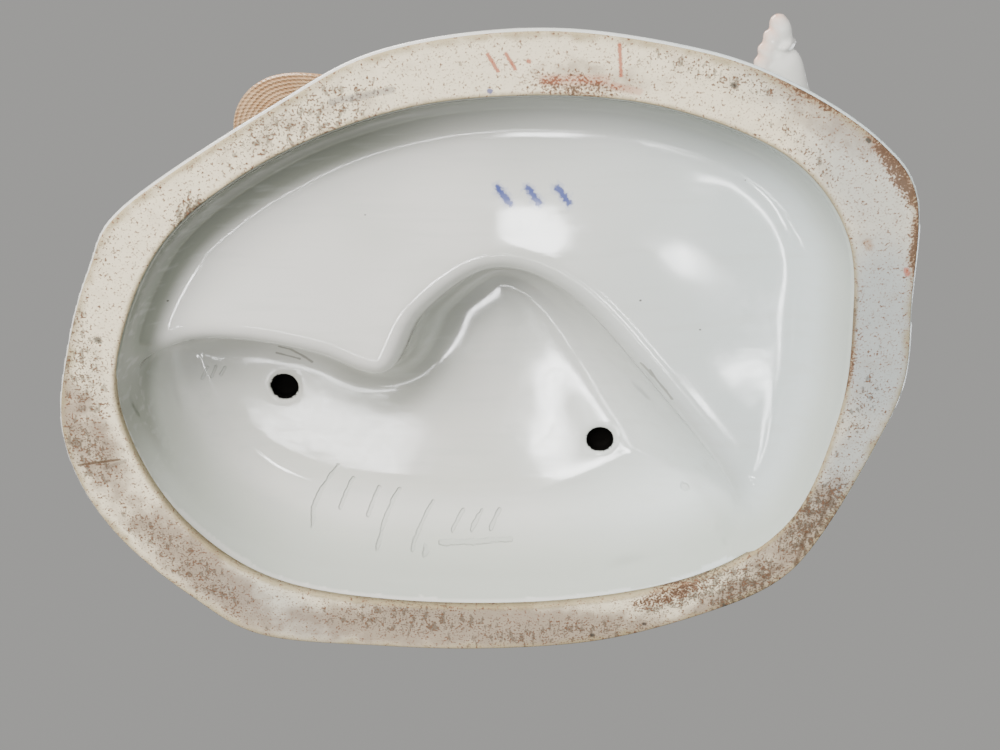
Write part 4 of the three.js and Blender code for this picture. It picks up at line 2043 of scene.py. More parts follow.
@dataclass
class Hand:
    """A hand with closed, curled fingers.

    Args:
        wrist: Its wrist.
        ahead: Direction of the palm.
        palm: Direction that the palm faces.
        curl: How far the fingertips drop.
        left: Whether it is a left hand.
    """

    wrist: Row
    ahead: Row
    palm: Row
    curl: float = 4.0
    left: bool = False

    def solids(self) -> list[Solid]:
        """Lists its palm, fingers and thumb.

        Returns:
            The solids.
        """
        forward = np.array(Vector(self.ahead).normalized())
        down = np.array(Vector(self.palm).normalized())
        side = np.cross(forward, down) * (-1 if self.left else 1)
        side /= np.linalg.norm(side)
        down = np.cross(side, forward) * (-1 if self.left else 1)

        def at(reach: float, across: float, drop: float) -> list[float]:
            """Finds a place on the hand.

            Args:
                reach: How far from the wrist.
                across: How far to the thumb's side.
                drop: How far towards the palm's side.

            Returns:
                The place.
            """
            return list(np.array(self.wrist) + forward * reach + side * across + down * drop)

        wide = tuple(side)
        made: list[Solid] = [Form([(*at(-1, 0, 0), 3.7, 3.0), (*at(4, 0.2, 0), 4.2, 2.9),
                                   (*at(10, 0.2, 0.2), 4.9, 2.3), (*at(12.5, 0.1, 0.5), 4.7, 1.9)], wide)]
        for across, reach, size in ((3.6, 20.8, 1.22), (1.25, 22.0, 1.28), (-1.15, 21.4, 1.22),
                                    (-3.45, 19.4, 1.06)):
            bend = self.curl
            made.append(Form([
                (*at(10.5, across, 0.5), size * 1.1), (*at(14.5, across * 1.08, 0.9 + 0.2 * bend), size),
                (*at(0.45 * reach + 9.2, across * 1.14, 1.1 + 0.55 * bend), size * 0.94),
                (*at(reach - 0.8, across * 1.16, 1.2 + 1.05 * bend), size * 0.8),
            ], wide))
        made.append(Form([(*at(2.5, 2.6, 1.0), 2.1), (*at(7, 5.4, 2.1), 1.75),
                          (*at(10.4, 6.6, 2.8 + 0.2 * self.curl), 1.4),
                          (*at(13.2, 6.6, 3.2 + 0.5 * self.curl), 1.1)]))
        return made


@dataclass
class Foot:
    """A bare foot, from its heel to its five toes.

    Args:
        heel: Place of the heel on the ground.
        heading: Where it points, in degrees from the front towards +X.
        left: Whether it is a left foot.
        toes: How far before the heel, how far inwards and how thick each toe is.
    """

    heel: Row
    heading: float
    left: bool
    toes: tuple[Row, ...] = (
        (33.4, 3.9, 2.4), (31.0, 0.7, 2.0), (28.6, -1.9, 1.95), (26.0, -4.2, 1.9), (23.2, -6.1, 1.7),
    )

    def at(self, forward: float, medial: float, height: float) -> list[float]:
        """Finds a place on the foot.

        Args:
            forward: How far before the heel.
            medial: How far to the inner side.
            height: How far above the ground.

        Returns:
            The place.
        """
        ahead, inner = np.array(ahead_at(self.heading)), np.array(across_at(self.heading))
        inner = inner * (-1 if self.left else 1)
        return list(np.array(self.heel) + ahead * forward + inner * medial + np.array([0, 0, height]))

    def solids(self) -> list[Solid]:
        """Lists its sole, instep and ankle.

        Returns:
            The solids.
        """
        at = self.at
        inner = tuple(np.array(across_at(self.heading)) * (-1 if self.left else 1))
        return [
            Form([(*at(1, 0, 4.5), 4.6, 4.5), (*at(10, -0.9, 5), 4.5, 4.6), (*at(19, -0.3, 4), 5.9, 3.8),
                  (*at(22.5, -0.3, 3.2), 5.6, 3.1), (*at(26.5, 0.6, 2.8), 3.6, 2.2)], inner),
            Form([(*at(3, 0, 14), 4.2), (*at(6, 0, 8.5), 4.6), (*at(13, 0.3, 6.6), 4.4),
                  (*at(20, 0.8, 4.6), 3.6)],
                 inner),
            Egg(at(4.5, 3.6, 9.5), (1.8, 1.8, 2.0)),
            Egg(at(3.5, -3.6, 8.5), (1.7, 1.7, 1.9)),
        ]

    def toe_solids(self) -> list[Solid]:
        """Lists the toes.

        Returns:
            The solids.
        """
        made: list[Solid] = []
        for forward, medial, radius in self.toes:
            made.append(Form([
                (*self.at(forward - 7, medial * 0.9, radius), radius * 0.9),
                (*self.at(forward - 3.2 * radius, medial * 0.97, radius * 1.1), radius * 0.68),
                (*self.at(forward - 1.5 * radius, medial, radius), radius * 1.1),
                (*self.at(forward - 0.7 * radius, medial, radius * 0.95), radius * 1.0),
            ]))
        return made

    def tips(self) -> list[Array]:
        """Lists the toe tips, which are tinted.

        Returns:
            The places.
        """
        return [np.array(self.at(forward, medial, radius)) for forward, medial, radius in self.toes]


def nearness(points: Array, places: Sequence[Array], reach: float) -> Array:
    """Finds how near points are to the nearest of some places.

    Args:
        points: Places of the vertices.
        places: What they are measured from.
        reach: How far the nearness reaches.

    Returns:
        1 at a place, 0 beyond the reach.
    """
    far = np.min([np.linalg.norm(points - place, axis=1) for place in places], 0)
    return smooth(1.0 - far / reach)


class Hair(Enum):
    """How the hair is dressed."""

    QUEUE = "queue"
    KNOT = "knot"


@dataclass
class Head:
    """A head in its own frame, the face towards -Y, before it is turned and set.

    Args:
        place: Its middle.
        heading: Where it faces, in degrees from the front towards +X.
        nod: How far it nods.
        hair: How its hair is dressed.
        cap: Height above which a hat hides it.
        step: Size of the cells that the surface is read from.
    """

    place: Row
    heading: float
    nod: float
    hair: Hair
    cap: float = 300.0
    step: float = 0.52

    def lid(self) -> Shape:
        """Gives what the hat hides, in the head's own frame.

        Returns:
            The half space above the hat's brim.
        """
        back = self.frame().inverted()
        way = back.to_3x3() @ Vector((0, 0, 1))
        return beyond(tuple(back @ Vector((self.place[0], self.place[1], self.cap))), tuple(way))

    def frame(self) -> Matrix:
        """Makes the head's place.

        Returns:
            A 4 by 4 matrix.
        """
        turn = Matrix.Rotation(math.radians(self.heading), 4, "Z")
        nod = Matrix.Rotation(math.radians(self.nod), 4, "X")
        return Matrix.Translation(self.place) @ (turn @ nod)

    def face(self) -> Skin:
        """Builds the face, ears and the start of the neck.

        Returns:
            The mesh, with its painted features kept at the vertices.
        """
        clay = Sculpt(self.step)
        clay.add(Egg((0, 1, 3), (11.6, 13.4, 13.2)))
        clay.add(Form([(0, -2.6, 7, 10.2, 10.0), (0, -3.4, 0, 9.9, 9.6), (0, -4.2, -5.5, 8.4, 8.2),
                       (0, -5.6, -10.4, 5.0, 5.2)]), blend=3.0)
        clay.add(Form([(0, 3.5, -6, 6.3), (0, 5.5, -17, 6.2)]), blend=3.0)
        clay.add(Egg((0, -9.4, -11.4), (3.2, 2.8, 2.7)), blend=2.4)
        clay.add(Form([(-6.4, -9.6, 4.6, 1.2), (0, -12.0, 4.2, 1.1), (6.4, -9.6, 4.6, 1.2)]), blend=2.4)
        for side in (-1, 1):
            clay.add(Egg((side * 5.4, -8.9, -3.4), (3.4, 2.8, 3.4)), blend=2.6)
            clay.cut(Egg((side * 4.5, -13.7, 1.5), (2.9, 2.3, 1.8), (0, 0, side * 12)), blend=1.5)
            clay.add(Egg((side * 4.4, -10.5, 1.25), (2.25, 1.95, 1.75)), blend=0.25)
            lid = [(side * 2.1, -11.7, 1.0, 0.35), (side * 3.4, -12.5, 2.45, 0.45),
                   (side * 5.2, -12.2, 2.5, 0.45),
                   (side * 6.8, -10.9, 1.2, 0.35)]
            clay.add(Form(lid), blend=0.35)
            low = [(side * 2.2, -11.6, 0.9, 0.3), (side * 4.4, -12.2, -0.1, 0.32),
                   (side * 6.7, -10.9, 1.0, 0.3)]
            clay.add(Form(low), blend=0.4)
            ear = [(side * 10.9, 0.6, 3.6, 1.0, 1.5), (side * 11.8, 1.4, 1.2, 0.9, 1.9),
                   (side * 11.3, 0.4, -2.0, 1.0, 1.4),
                   (side * 10.6, -0.4, -4.0, 1.0, 1.1)]
            clay.add(Form(ear), blend=0.8)
            clay.cut(Egg((side * 12.7, 0.2, 0.9), (0.9, 1.0, 1.9)), blend=0.6)
        clay.add(Form([(0, -11.9, 3.9, 1.05, 1.2), (0, -13.2, 0.9, 1.15, 1.3), (0, -14.6, -2.0, 1.5, 1.5)]),
                 blend=1.2)
        clay.add(Egg((0, -15.0, -2.7), (1.65, 1.5, 1.45)), blend=0.8)
        for side in (-1, 1):
            clay.add(Egg((side * 1.75, -13.4, -3.3), (1.05, 1.3, 1.0)), blend=0.7)
            clay.cut(Egg((side * 0.8, -14.3, -4.3), (0.42, 0.75, 0.5)), blend=0.3)
        clay.add(Egg((0, -11.4, -6.9), (4.3, 2.3, 2.6)), blend=1.8)
        upper = [(-3.1, -11.9, -6.9, 0.35), (-1.1, -13.5, -6.2, 0.7, 0.75), (0, -13.6, -6.5, 0.66),
                 (1.1, -13.5, -6.2, 0.7, 0.75), (3.1, -11.9, -6.9, 0.35)]
        lower = [(-2.5, -12.1, -7.5, 0.35), (0, -13.3, -7.9, 0.95, 0.9), (2.5, -12.1, -7.5, 0.35)]
        clay.add(Form(upper), blend=0.4).add(Form(lower), blend=0.4)
        made = clay.cut(self.lid()).skin(1)
        made.values = self.features(made.points)
        return made

    def features(self, points: Array) -> dict[str, Array]:
        """Finds where the face is painted.

        Args:
            points: Places on the face in its own frame.

        Returns:
            Numbers at the vertices, by name.
        """
        x, y, z = points.T
        front = smooth((-y - 6.0) / 3.0)
        side = np.abs(x)
        iris = np.hypot(x - np.sign(x) * 4.35 - 0.25, (z - 1.2) * 1.05)
        brow = np.abs(z - (4.9 + 0.9 * np.sin(np.clip((side - 2.0) / 6.4, 0, 1) * 2.4)))
        held = smooth((side - 1.9) / 0.8) * smooth((8.2 - side) / 1.2)
        lash = np.abs(z - (0.9 + 1.75 * np.sqrt(np.clip(1 - ((side - 4.5) / 2.7) ** 2, 0, 1))))
        on_lid = smooth((2.6 - np.abs(side - 4.5)) / 0.5)
        lips = 1.0 - np.minimum(np.abs(z + 7.0 + 0.18 * side) / 1.55, 2.0)
        lips = lips * smooth((3.0 - side) / 1.2) * smooth((-y - 11.9) / 0.8)
        blush = np.exp(-(((side - 6.2) / 2.9) ** 2 + ((z + 3.2) / 2.7) ** 2)) * front * 0.8
        return {
            "eye": smooth((1.25 - iris) / 0.5) * front,
            "pupil": smooth((0.72 - iris) / 0.45) * front,
            "line": np.maximum(smooth((0.62 - brow) / 0.5) * held,
                               smooth((0.5 - lash) / 0.45) * on_lid) * front,
            "lip": smooth(lips * 1.6) * front,
            "blush": np.maximum(blush,
                                0.35 * smooth((1.6 - np.abs(z + 7)) / 1.6) * smooth((3 - side) / 2) * front),
        }

    def locks(self) -> Skin:
        """Builds the hair.

        Returns:
            The mesh.
        """
        clay = Sculpt(self.step * 1.15)
        if self.hair is Hair.KNOT:
            cap = [(0, 3, 14.2, 7.6, 7), (0, 3.6, 8, 13.2, 12.8), (0, 5.4, 0, 13.2, 11.6),
                   (0, 8.2, -7.6, 8.6, 6.8)]
            clay.add(Form(cap, ripple=ribbed(9, 0.035, -3, 0.02)))
            clay.add(Egg((0, 16, 3), (6.5, 6, 7), ripple=ribbed(7, 0.07, 4)), blend=0.6)
            for side in (-1, 1):
                clay.add(Form([(side * 9.4, -3.0, 10.0, 3.2), (side * 11.8, -1.5, 5.0, 3.0),
                               (side * 11.6, 3.0, -1.0, 3.2)],
                              ripple=ribbed(3, 0.12, 7)), blend=0.8)
                clay.add(Form([(side * 10, 8, -4, 3.2), (side * 10.5, 7.4, -10, 3.0),
                               (side * 10, 6.6, -16, 2.7),
                               (side * 8.4, 4.4, -24, 1.8)], ripple=ribbed(3, 0.16, 13)), blend=0.5)
        else:
            cap = [(0, 4.6, 13.2, 8), (0, 4.2, 6.6, 13.2, 12.4), (0, 5.8, -1.6, 12.8, 10.6),
                   (0, 8.8, -8.4, 7.6, 6)]
            clay.add(Form(cap, ripple=ribbed(11, 0.035, 3, 0.02)))
            clay.add(Form([(0, 10, -7, 4.5), (0, 14, -14, 4), (1, 13, -24, 2.2)], ripple=ribbed(4, 0.1, 6)),
                     blend=1.0)
            for side in (-1, 1):
                for k in range(3):
                    low = 5.2 - 4.2 * k
                    clay.add(Form([(side * 12.2, -2.4 + k, low, 2.3),
                                   (side * 13.2, 2.8 + k, low - 0.6, 2.4)],
                                  ripple=ribbed(3, 0.1, 6)), blend=0.4)
        clay.cut(Egg((0, -10.6, 0.2), (9.6, 8.0, 11.4)), blend=1.6)
        made = clay.cut(self.lid()).skin(1)
        strands = np.abs(Waves(3.4, 3, 9).at(made.points * np.array([1.0, 1.0, 0.45])))
        return made.carved(0.34 * np.minimum(strands * 2.0, 1.0) - 0.24)

    def build(self, name: str, tint: Enamel) -> None:
        """Makes the head.

        Args:
            name: First part of the pieces' names.
            tint: Finish of the hair.
        """
        place = self.frame()
        flesh = Flesh(name + "_face_glaze")
        make_piece(name + "_face", self.face().placed(place), flesh, Slot.PORCELAIN)
        make_piece(name + "_hair", self.locks().placed(place), tint)


@dataclass
class StrawHat:
    """A wide straw hat with a low crown, its brim bent down at the front and the back.

    Args:
        place: Middle of the brim.
        degrees: Its turns about x, y and z.
        brim: Radius of the brim.
        bend: How far the brim is bent up at its sides.
        sides: Steps round the hat.
    """

    place: Row = (-62.6, -20.8, 160.4)
    degrees: Row = (20.0, -4.0, 8.0)
    brim: float = 29.2
    bend: float = 3.2
    sides: int = 260

    def frame(self) -> Matrix:
        """Makes the hat's place.

        Returns:
            A 4 by 4 matrix.
        """
        turn = Euler([math.radians(a) for a in self.degrees], "XYZ").to_matrix().to_4x4()
        return Matrix.Translation(self.place) @ turn

    def bent(self, points: Array) -> Array:
        """Bends points with the brim.

        Args:
            points: Places in the hat's own frame.

        Returns:
            The bent places.
        """
        made = points.copy()
        made[:, 2] += self.bend * (made[:, 0] ** 2 - 0.6 * made[:, 1] ** 2) / self.brim ** 2
        made[:, 2] += 0.5 * np.sin(5 * np.arctan2(made[:, 1], made[:, 0])) * smooth(
            (np.hypot(made[:, 0], made[:, 1]) - 18.0) / 11.0)
        return made

    def skin(self) -> Skin:
        """Turns the hat's profile.

        Returns:
            The mesh, with the plait's rings and turns kept at the vertices.
        """
        rim = self.brim
        profile = [(0.05, -0.7), (11, -1.2), (22, -2.4), (rim - 0.6, -2.9), (rim, -2.4), (rim + 0.1, -1.8),
                   (rim - 0.6, -1.35), (22, -0.9), (14.5, 0.5), (11.9, 1.4), (11.3, 2.6), (10.9, 5.2),
                   (9.6, 7.3),
                   (6.6, 8.1), (0.05, 8.3)]
        line = spline(profile, 6)
        angles = np.linspace(0.0, 2 * math.pi, self.sides, endpoint=False)
        wide = line[:, 0][:, None]
        rings = np.stack([wide * np.cos(angles), wide * np.sin(angles),
                          np.repeat(line[:, 1][:, None], self.sides, 1)], -1)
        count, n = len(line), self.sides
        index = np.arange(count * n).reshape(count, n)
        faces = np.stack([index[:-1], np.roll(index[:-1], -1, 1), np.roll(index[1:], -1, 1), index[1:]], -1)
        faces = faces.reshape(-1, 4)
        points = rings.reshape(-1, 3)
        along = np.concatenate([[0.0], np.cumsum(np.linalg.norm(np.diff(line, axis=0), axis=1))])
        made = Skin(self.bent(points), faces)
        made.values = {"ring": np.repeat(along, n), "turn": np.tile(angles, count)}
        return made.placed(self.frame())

    def build(self) -> None:
        """Makes the hat with its ribbon, bow and flowers."""
        make_piece("straw_hat", self.skin(), Straw("straw"))
        ribbon = Sculpt(0.55)
        turns = np.linspace(0, 2 * math.pi, 17)
        ring = [(12.1 * math.cos(a), 12.1 * math.sin(a), 2.6, 0.8, 1.5) for a in turns]
        ribbon.add(Form(ring, (0, 0, 1.0), steps=3))
        for side in (-1, 1):
            loop = [(12.5, -2.0, 3.2, 1.0, 0.8), (16.0, -2 + side * 4.5, 5.0, 2.2, 0.7),
                    (17.0, -2 + side * 8.0, 3.4, 2.0, 0.7),
                    (14.6, -2 + side * 4.5, 2.6, 1.6, 0.6), (12.8, -2.0, 2.8, 0.9, 0.7)]
            tail = [(13, -2.0, 2.6, 1.2, 0.6), (19, -2 + side * 3.0, 1.6, 2.0, 0.6),
                    (25.5, -2 + side * 5.4, 0.2, 2.4, 0.6)]
            ribbon.add(Form(loop, (0, 0, 1.0)), blend=0.4).add(Form(tail, (0, 1.0, 0)), blend=0.4)
        ribbon.add(Egg((13.2, -2, 3.2), (1.6, 1.9, 1.7)), blend=0.5)
        made = ribbon.skin(1)
        made.points = self.bent(made.points)
        finish = painted("ribbon_glaze", (104, 136, 178), (150, 176, 204), 3.0)
        make_piece("hat_ribbon", made.placed(self.frame()), finish)
        spots = np.array([(-8.6, -9.6, 4.2), (-3.4, -12.6, 4.0), (-12.6, -5.0, 4.0), (1.6, -13.2, 3.6)])
        spots = Skin(self.bent(spots), np.zeros((0, 4), int)).placed(self.frame()).points
        Flowers([(*spot, size) for spot, size in zip(spots, (4.4, 3.6, 3.5, 2.8))], "hat").build()


@dataclass
class Shepherdess:
    """A seated shepherdess in a full skirt, an apron, a laced bodice and a straw hat.

    Args:
        base: The base below the figure.
        heading: Where it faces, in degrees from the front towards +X.
        right_wrist: Place of the right wrist.
        left_wrist: Place of the left wrist.
        skirt_stations: Level sections of the skirt.
        arm_radii: Radii down a sleeve.
    """

    base: Base
    heading: float = 20.0
    right_wrist: Row = (-56.0, -38.0, 88.0)
    left_wrist: Row = (-19.0, -32.0, 98.0)
    skirt_stations: tuple[Row, ...] = (
        (-56, 16, 88, 12, 10), (-55, 12, 82, 19, 19), (-50, -4, 77, 28, 35), (-49, -8, 68, 33, 42),
        (-50, -8, 50, 39, 47), (-51, -9, 32, 44, 50), (-52, -9, 16, 48, 52),
    )
    arm_radii: tuple[float, ...] = (8, 9, 8.5)

    def folds(self, angle: Array, share: Array) -> Array:
        """Makes the skirt's folds, which deepen towards the hem.

        Args:
            angle: Angles round the skirt.
            share: Shares of its height from the waist.

        Returns:
            Factors on its radius.
        """
        fall = smooth(np.minimum(1.0, np.maximum(0.0, share * 1.6 - 0.35)))
        sway = angle + 0.16 * np.sin(2.3 * angle + 1.1) + 0.1 * share
        crease = np.cos(9 * sway) + 0.28 * np.cos(18 * sway + 0.6)
        return 1 + fall * (0.078 * crease + 0.026 * np.cos(14 * angle + 1 + 1.5 * share))

    def drape(self) -> Tower:
        """Gives the skirt's body.

        Returns:
            The solid.
        """
        return Tower(self.skirt_stations, across_at(self.heading), self.folds, 2.0)

    def skirt(self) -> None:
        """Makes the skirt."""
        clay = Sculpt(1.25).add(self.drape()).cut(self.base.cavity(), blend=1.0)
        made = clay.cut(self.base.hem(), blend=1.5).skin(1)
        made.carved(0.25 * Waves(11.0, 6, 9).at(made.points * np.array([1.0, 1.0, 0.35])))
        finish = Enamel("skirt_glaze", second=tone(238, 234, 226), pattern=Pattern.SPRIGS, hem=23.5,
                        streaks=14.0,
                        accent=tone(190, 84, 110), depth=0.08)
        make_piece("skirt", made, finish)

    def apron(self) -> None:
        """Makes the apron with its frilled edge."""

        def frilled(angle: Array, share: Array) -> Array:
            """Makes the apron's soft folds and its frill.

            Args:
                angle: Angles round it.
                share: Shares of its length.

            Returns:
                Factors on its radius.
            """
            frill = smooth((share - 0.86) / 0.1)
            return 1 + 0.035 * np.cos(6 * angle) + 0.02 * np.cos(13 * angle + 2 * share) \
                + frill * (0.03 + 0.05 * np.cos(34 * angle))

        stations = ((-52, 2, 84, 12, 6), (-45, -22, 80, 18, 16), (-41, -38, 66, 20, 12),
                    (-39, -46, 46, 21, 11))
        drape, panel = self.drape(), Form(stations, across_at(self.heading), frilled, steps=5)

        def cover(points: Array) -> Array:
            """Finds the distance to the apron, which lies over the skirt's folds.

            Args:
                points: Places, one a row.

            Returns:
                Distances, negative in the apron.
            """
            near_panel = panel.away(points)
            over = blend_min(drape.away(points) - 1.2, near_panel, 1.5)
            return -blend_min(-over, 2.6 - near_panel, 0.8)

        made = Sculpt(1.0).add(Shape((-74, -64, 36), (-10, 16, 98), cover)).skin(1)
        finish = painted("apron_glaze", (240, 226, 176), (236, 232, 214), 7.0,
                        pattern=Pattern.STRIPES, accent=tone(206, 150, 120), depth=0.1)
        make_piece("apron", made, finish)

    def bodice(self) -> None:
        """Makes the bodice, its lacing, the sash and the neck frill."""
        wide = across_at(self.heading)
        ahead = np.array(ahead_at(self.heading))
        side = np.array(wide)
        stations = ((-56, 16, 86, 12.5, 10), (-57, 13, 98, 13, 10.5), (-57, 5, 111, 16, 12.5),
                    (-60, 4, 120, 16.5, 9), (-60, 3, 125, 11, 7))
        clay = Sculpt(0.9).add(Form(stations, wide, steps=5))
        chest = np.array([-57.5, 2.0, 112.5])
        for turn in (-1, 1):
            clay.add(Egg(chest + ahead * 5.5 + side * 6.2 * turn, (6.2, 6.0, 6.0)), blend=3.5)
        collar, rise = np.array([-59.6, -3.5, 118.2]), ahead * 0.42 + np.array([0, 0, 0.9])
        made = clay.cut(beyond(tuple(collar), tuple(rise)), blend=0.8).skin(1)
        finish = painted("bodice_glaze", (198, 118, 140), (224, 170, 182), 4.0)
        make_piece("bodice", made, finish)
        lace = Sculpt(0.55)
        for k in range(5):
            z = 94.5 + 3.6 * k
            middle = np.array([-57.0, 13.0 - 0.52 * (z - 90.0), z]) + ahead * (10.6 + 0.11 * (z - 92.0))
            bow = [(*(middle + side * 3.6 + [0, 0, 0.7]), 0.9), (*middle, 0.75),
                   (*(middle - side * 3.6 + [0, 0, 0.7]), 0.9)]
            lace.add(Form(bow), blend=0.4)
        body, rise = Form(stations, wide, steps=5), unit_of(rise)
        level = np.cross(rise, side)
        middle = np.array([-59.8, 3.5, 121.3])
        middle = middle - rise * ((middle - collar) @ rise)
        frill = []
        for a in np.linspace(0.0, 2 * math.pi, 61):
            way = side * math.cos(a) + level * math.sin(a)
            line = middle + np.linspace(0.0, 30.0, 121)[:, None] * way
            edge = line[int((body.away(line) < 0).sum())]
            frill.append((*(edge + way * (0.5 + 0.35 * math.cos(15 * a)) + rise * 0.5 * math.sin(15 * a)),
                          1.5, 0.8))
        lace.add(Form(frill, tuple(rise), steps=2), blend=0.3)
        trim = Enamel("trim_glaze", second=tone(222, 206, 210), streaks=2.0)
        make_piece("bodice_trim", lace.skin(1), trim, Slot.PORCELAIN)
        sash = Sculpt(0.7).add(Form(((-57, 13, 89.5, 13.8, 11.4), (-57, 13, 94.5, 13.4, 11)), wide,
                                    ribbed(14, 0.012, 5), flat=True), blend=0.5)
        back = np.array([-57.0, 13.0, 92.0]) - ahead * 11.5
        for turn in (-1, 1):
            sash.add(Form([(*back, 1.4), (*(back + side * 5 * turn - ahead * 2 + [0, 0, 2.4]), 2.6, 1.3),
                           (*(back + side * 8 * turn - ahead * 2), 1.8, 1.0)]), blend=0.8)
            sash.add(Form([(*back, 1.3), (*(back + side * 3 * turn - ahead * 3.4 - [0, 0, 8]), 2.4, 1.0),
                           (*(back + side * 4.6 * turn - ahead * 4.6 - [0, 0, 15]), 2.8, 0.9)]), blend=0.8)
        ribbon = painted("sash_glaze", (104, 136, 178), (150, 176, 204), 3.0)
        make_piece("sash", sash.skin(1), ribbon)

    def arms(self) -> None:
        """Makes the sleeves, forearms, hands, neck and shoulders."""
        arms = (
            (((-79, -2, 120), (-85, -10, 106), (-82, -20, 94)),
             ((-78, -24, 91), (-68, -32, 88), self.right_wrist)),
            (((-41, 10, 120), (-30, 2, 106), (-24, -8, 96)),
             ((-22.5, -13, 95), (-20, -22, 96), self.left_wrist)),
        )
        cloth, flesh = Sculpt(0.95), Sculpt(0.62)
        shoulders = ((-68, 4, 119), (-50, 8, 119))
        for (sleeve, bare), shoulder in zip(arms, shoulders):
            stations = [(*shoulder, 7.0), *jointed(sleeve, self.arm_radii)]
            cloth.add(Form(stations, ripple=ribbed(5, 0.04, 5, 0.02)), blend=1.0)
            elbow, end = np.array(sleeve[-1], float), np.array(bare[0], float)
            ahead = unit_of(bare[1] - end)
            frill = [(*(elbow + (end - elbow) * 0.3), 6.0), (*(end + ahead * 1.5), 8.2),
                     (*(end + ahead * 4.5), 9.2)]
            cloth.add(Form(frill, ripple=ribbed(13, 0.07, 2), flat=True), blend=0.6)
            cloth.cut(Form([(*(end + ahead * 2.5), 5.6), (*(end + ahead * 6.5), 7.6)], flat=True),
                      blend=0.5)
            bones = [
                (*place, radius * 0.94) for place, radius in zip((sleeve[-1], *bare), (5.4, 5, 4.3, 3.5))
            ]
            flesh.add(Form(bones), blend=1.0)
        hands = (Hand(self.right_wrist, (0.9, -0.35, -0.15), (0, -0.1, -1), 3.0, True),
                 Hand(self.left_wrist, (0.25, -0.9, 0.3), (-0.6, 0, -0.8)))
        for hand in hands:
            for k, solid in enumerate(hand.solids()):
                flesh.add(solid, blend=1.6 if k == 0 else 0.35)
        flesh.add(Form([(-58.4, 4.6, 113, 14.6, 10.4), (-60, 3.8, 120, 14.4, 7.8),
                        (-60, 3.2, 125, 9.0, 6.6),
                        (-60.6, 1.2, 130, 6.0, 5.8), (-61.2, -5.6, 139, 5.9, 5.8)],
                       across_at(self.heading)), blend=2.0)
        skin = flesh.skin(1)
        tips = [np.array(hand.wrist) + np.array(Vector(hand.ahead).normalized()) * 19 for hand in hands]
        skin.values = blushing(skin.points, tips, 6.0)
        make_piece("shepherdess_arms", skin, Flesh("arms_glaze"), Slot.PORCELAIN)
        finish = painted("sleeve_glaze", (236, 236, 234), (214, 218, 222), 6.0)
        make_piece("sleeves", cloth.skin(1), finish, Slot.PORCELAIN)

    def shoes(self) -> None:
        """Makes the two shoe tips under the hem, with their buckles."""
        clay = Sculpt(0.6)
        for x, y, turn in ((-46, -60, 8), (-28, -57, 24)):
            ahead = np.array(ahead_at(turn))
            clay.add(Egg((x, y, 22.5), (5, 10, 4), (8, 0, turn)))
            buckle, across = np.array([x, y, 25.8]) + ahead * 1.0, np.array(across_at(turn)) * 2.6
            clay.add(Form([(*(buckle + across * k), 1.1) for k in (-1, 0, 1)]), blend=0.3)
        finish = painted("shoe_glaze", (150, 74, 92), (182, 108, 122), 3.0)
        make_piece("shoes", clay.skin(1), finish)

    def build(self) -> None:
        """Makes the shepherdess."""
        self.skirt()
        self.apron()
        self.bodice()
        self.arms()
        self.shoes()
        hair = painted("fair_hair", (186, 142, 92), (216, 184, 138), 1.6, depth=0.25)
        Head((-61.6, -11.6, 147), 14, 22, Hair.KNOT).build("shepherdess", hair)
        StrawHat().build()


def blushing(points: Array, tips: Sequence[Array], reach: float) -> dict[str, Array]:
    """Tints skin near some places and leaves it unpainted.

    Args:
        points: Places of the vertices.
        tips: Where the skin is tinted.
        reach: How far the tint reaches.

    Returns:
        Numbers at the vertices, by name.
    """
    none = np.zeros(len(points))
    return {"blush": nearness(points, tips, reach), "eye": none, "pupil": none, "line": none, "lip": none}


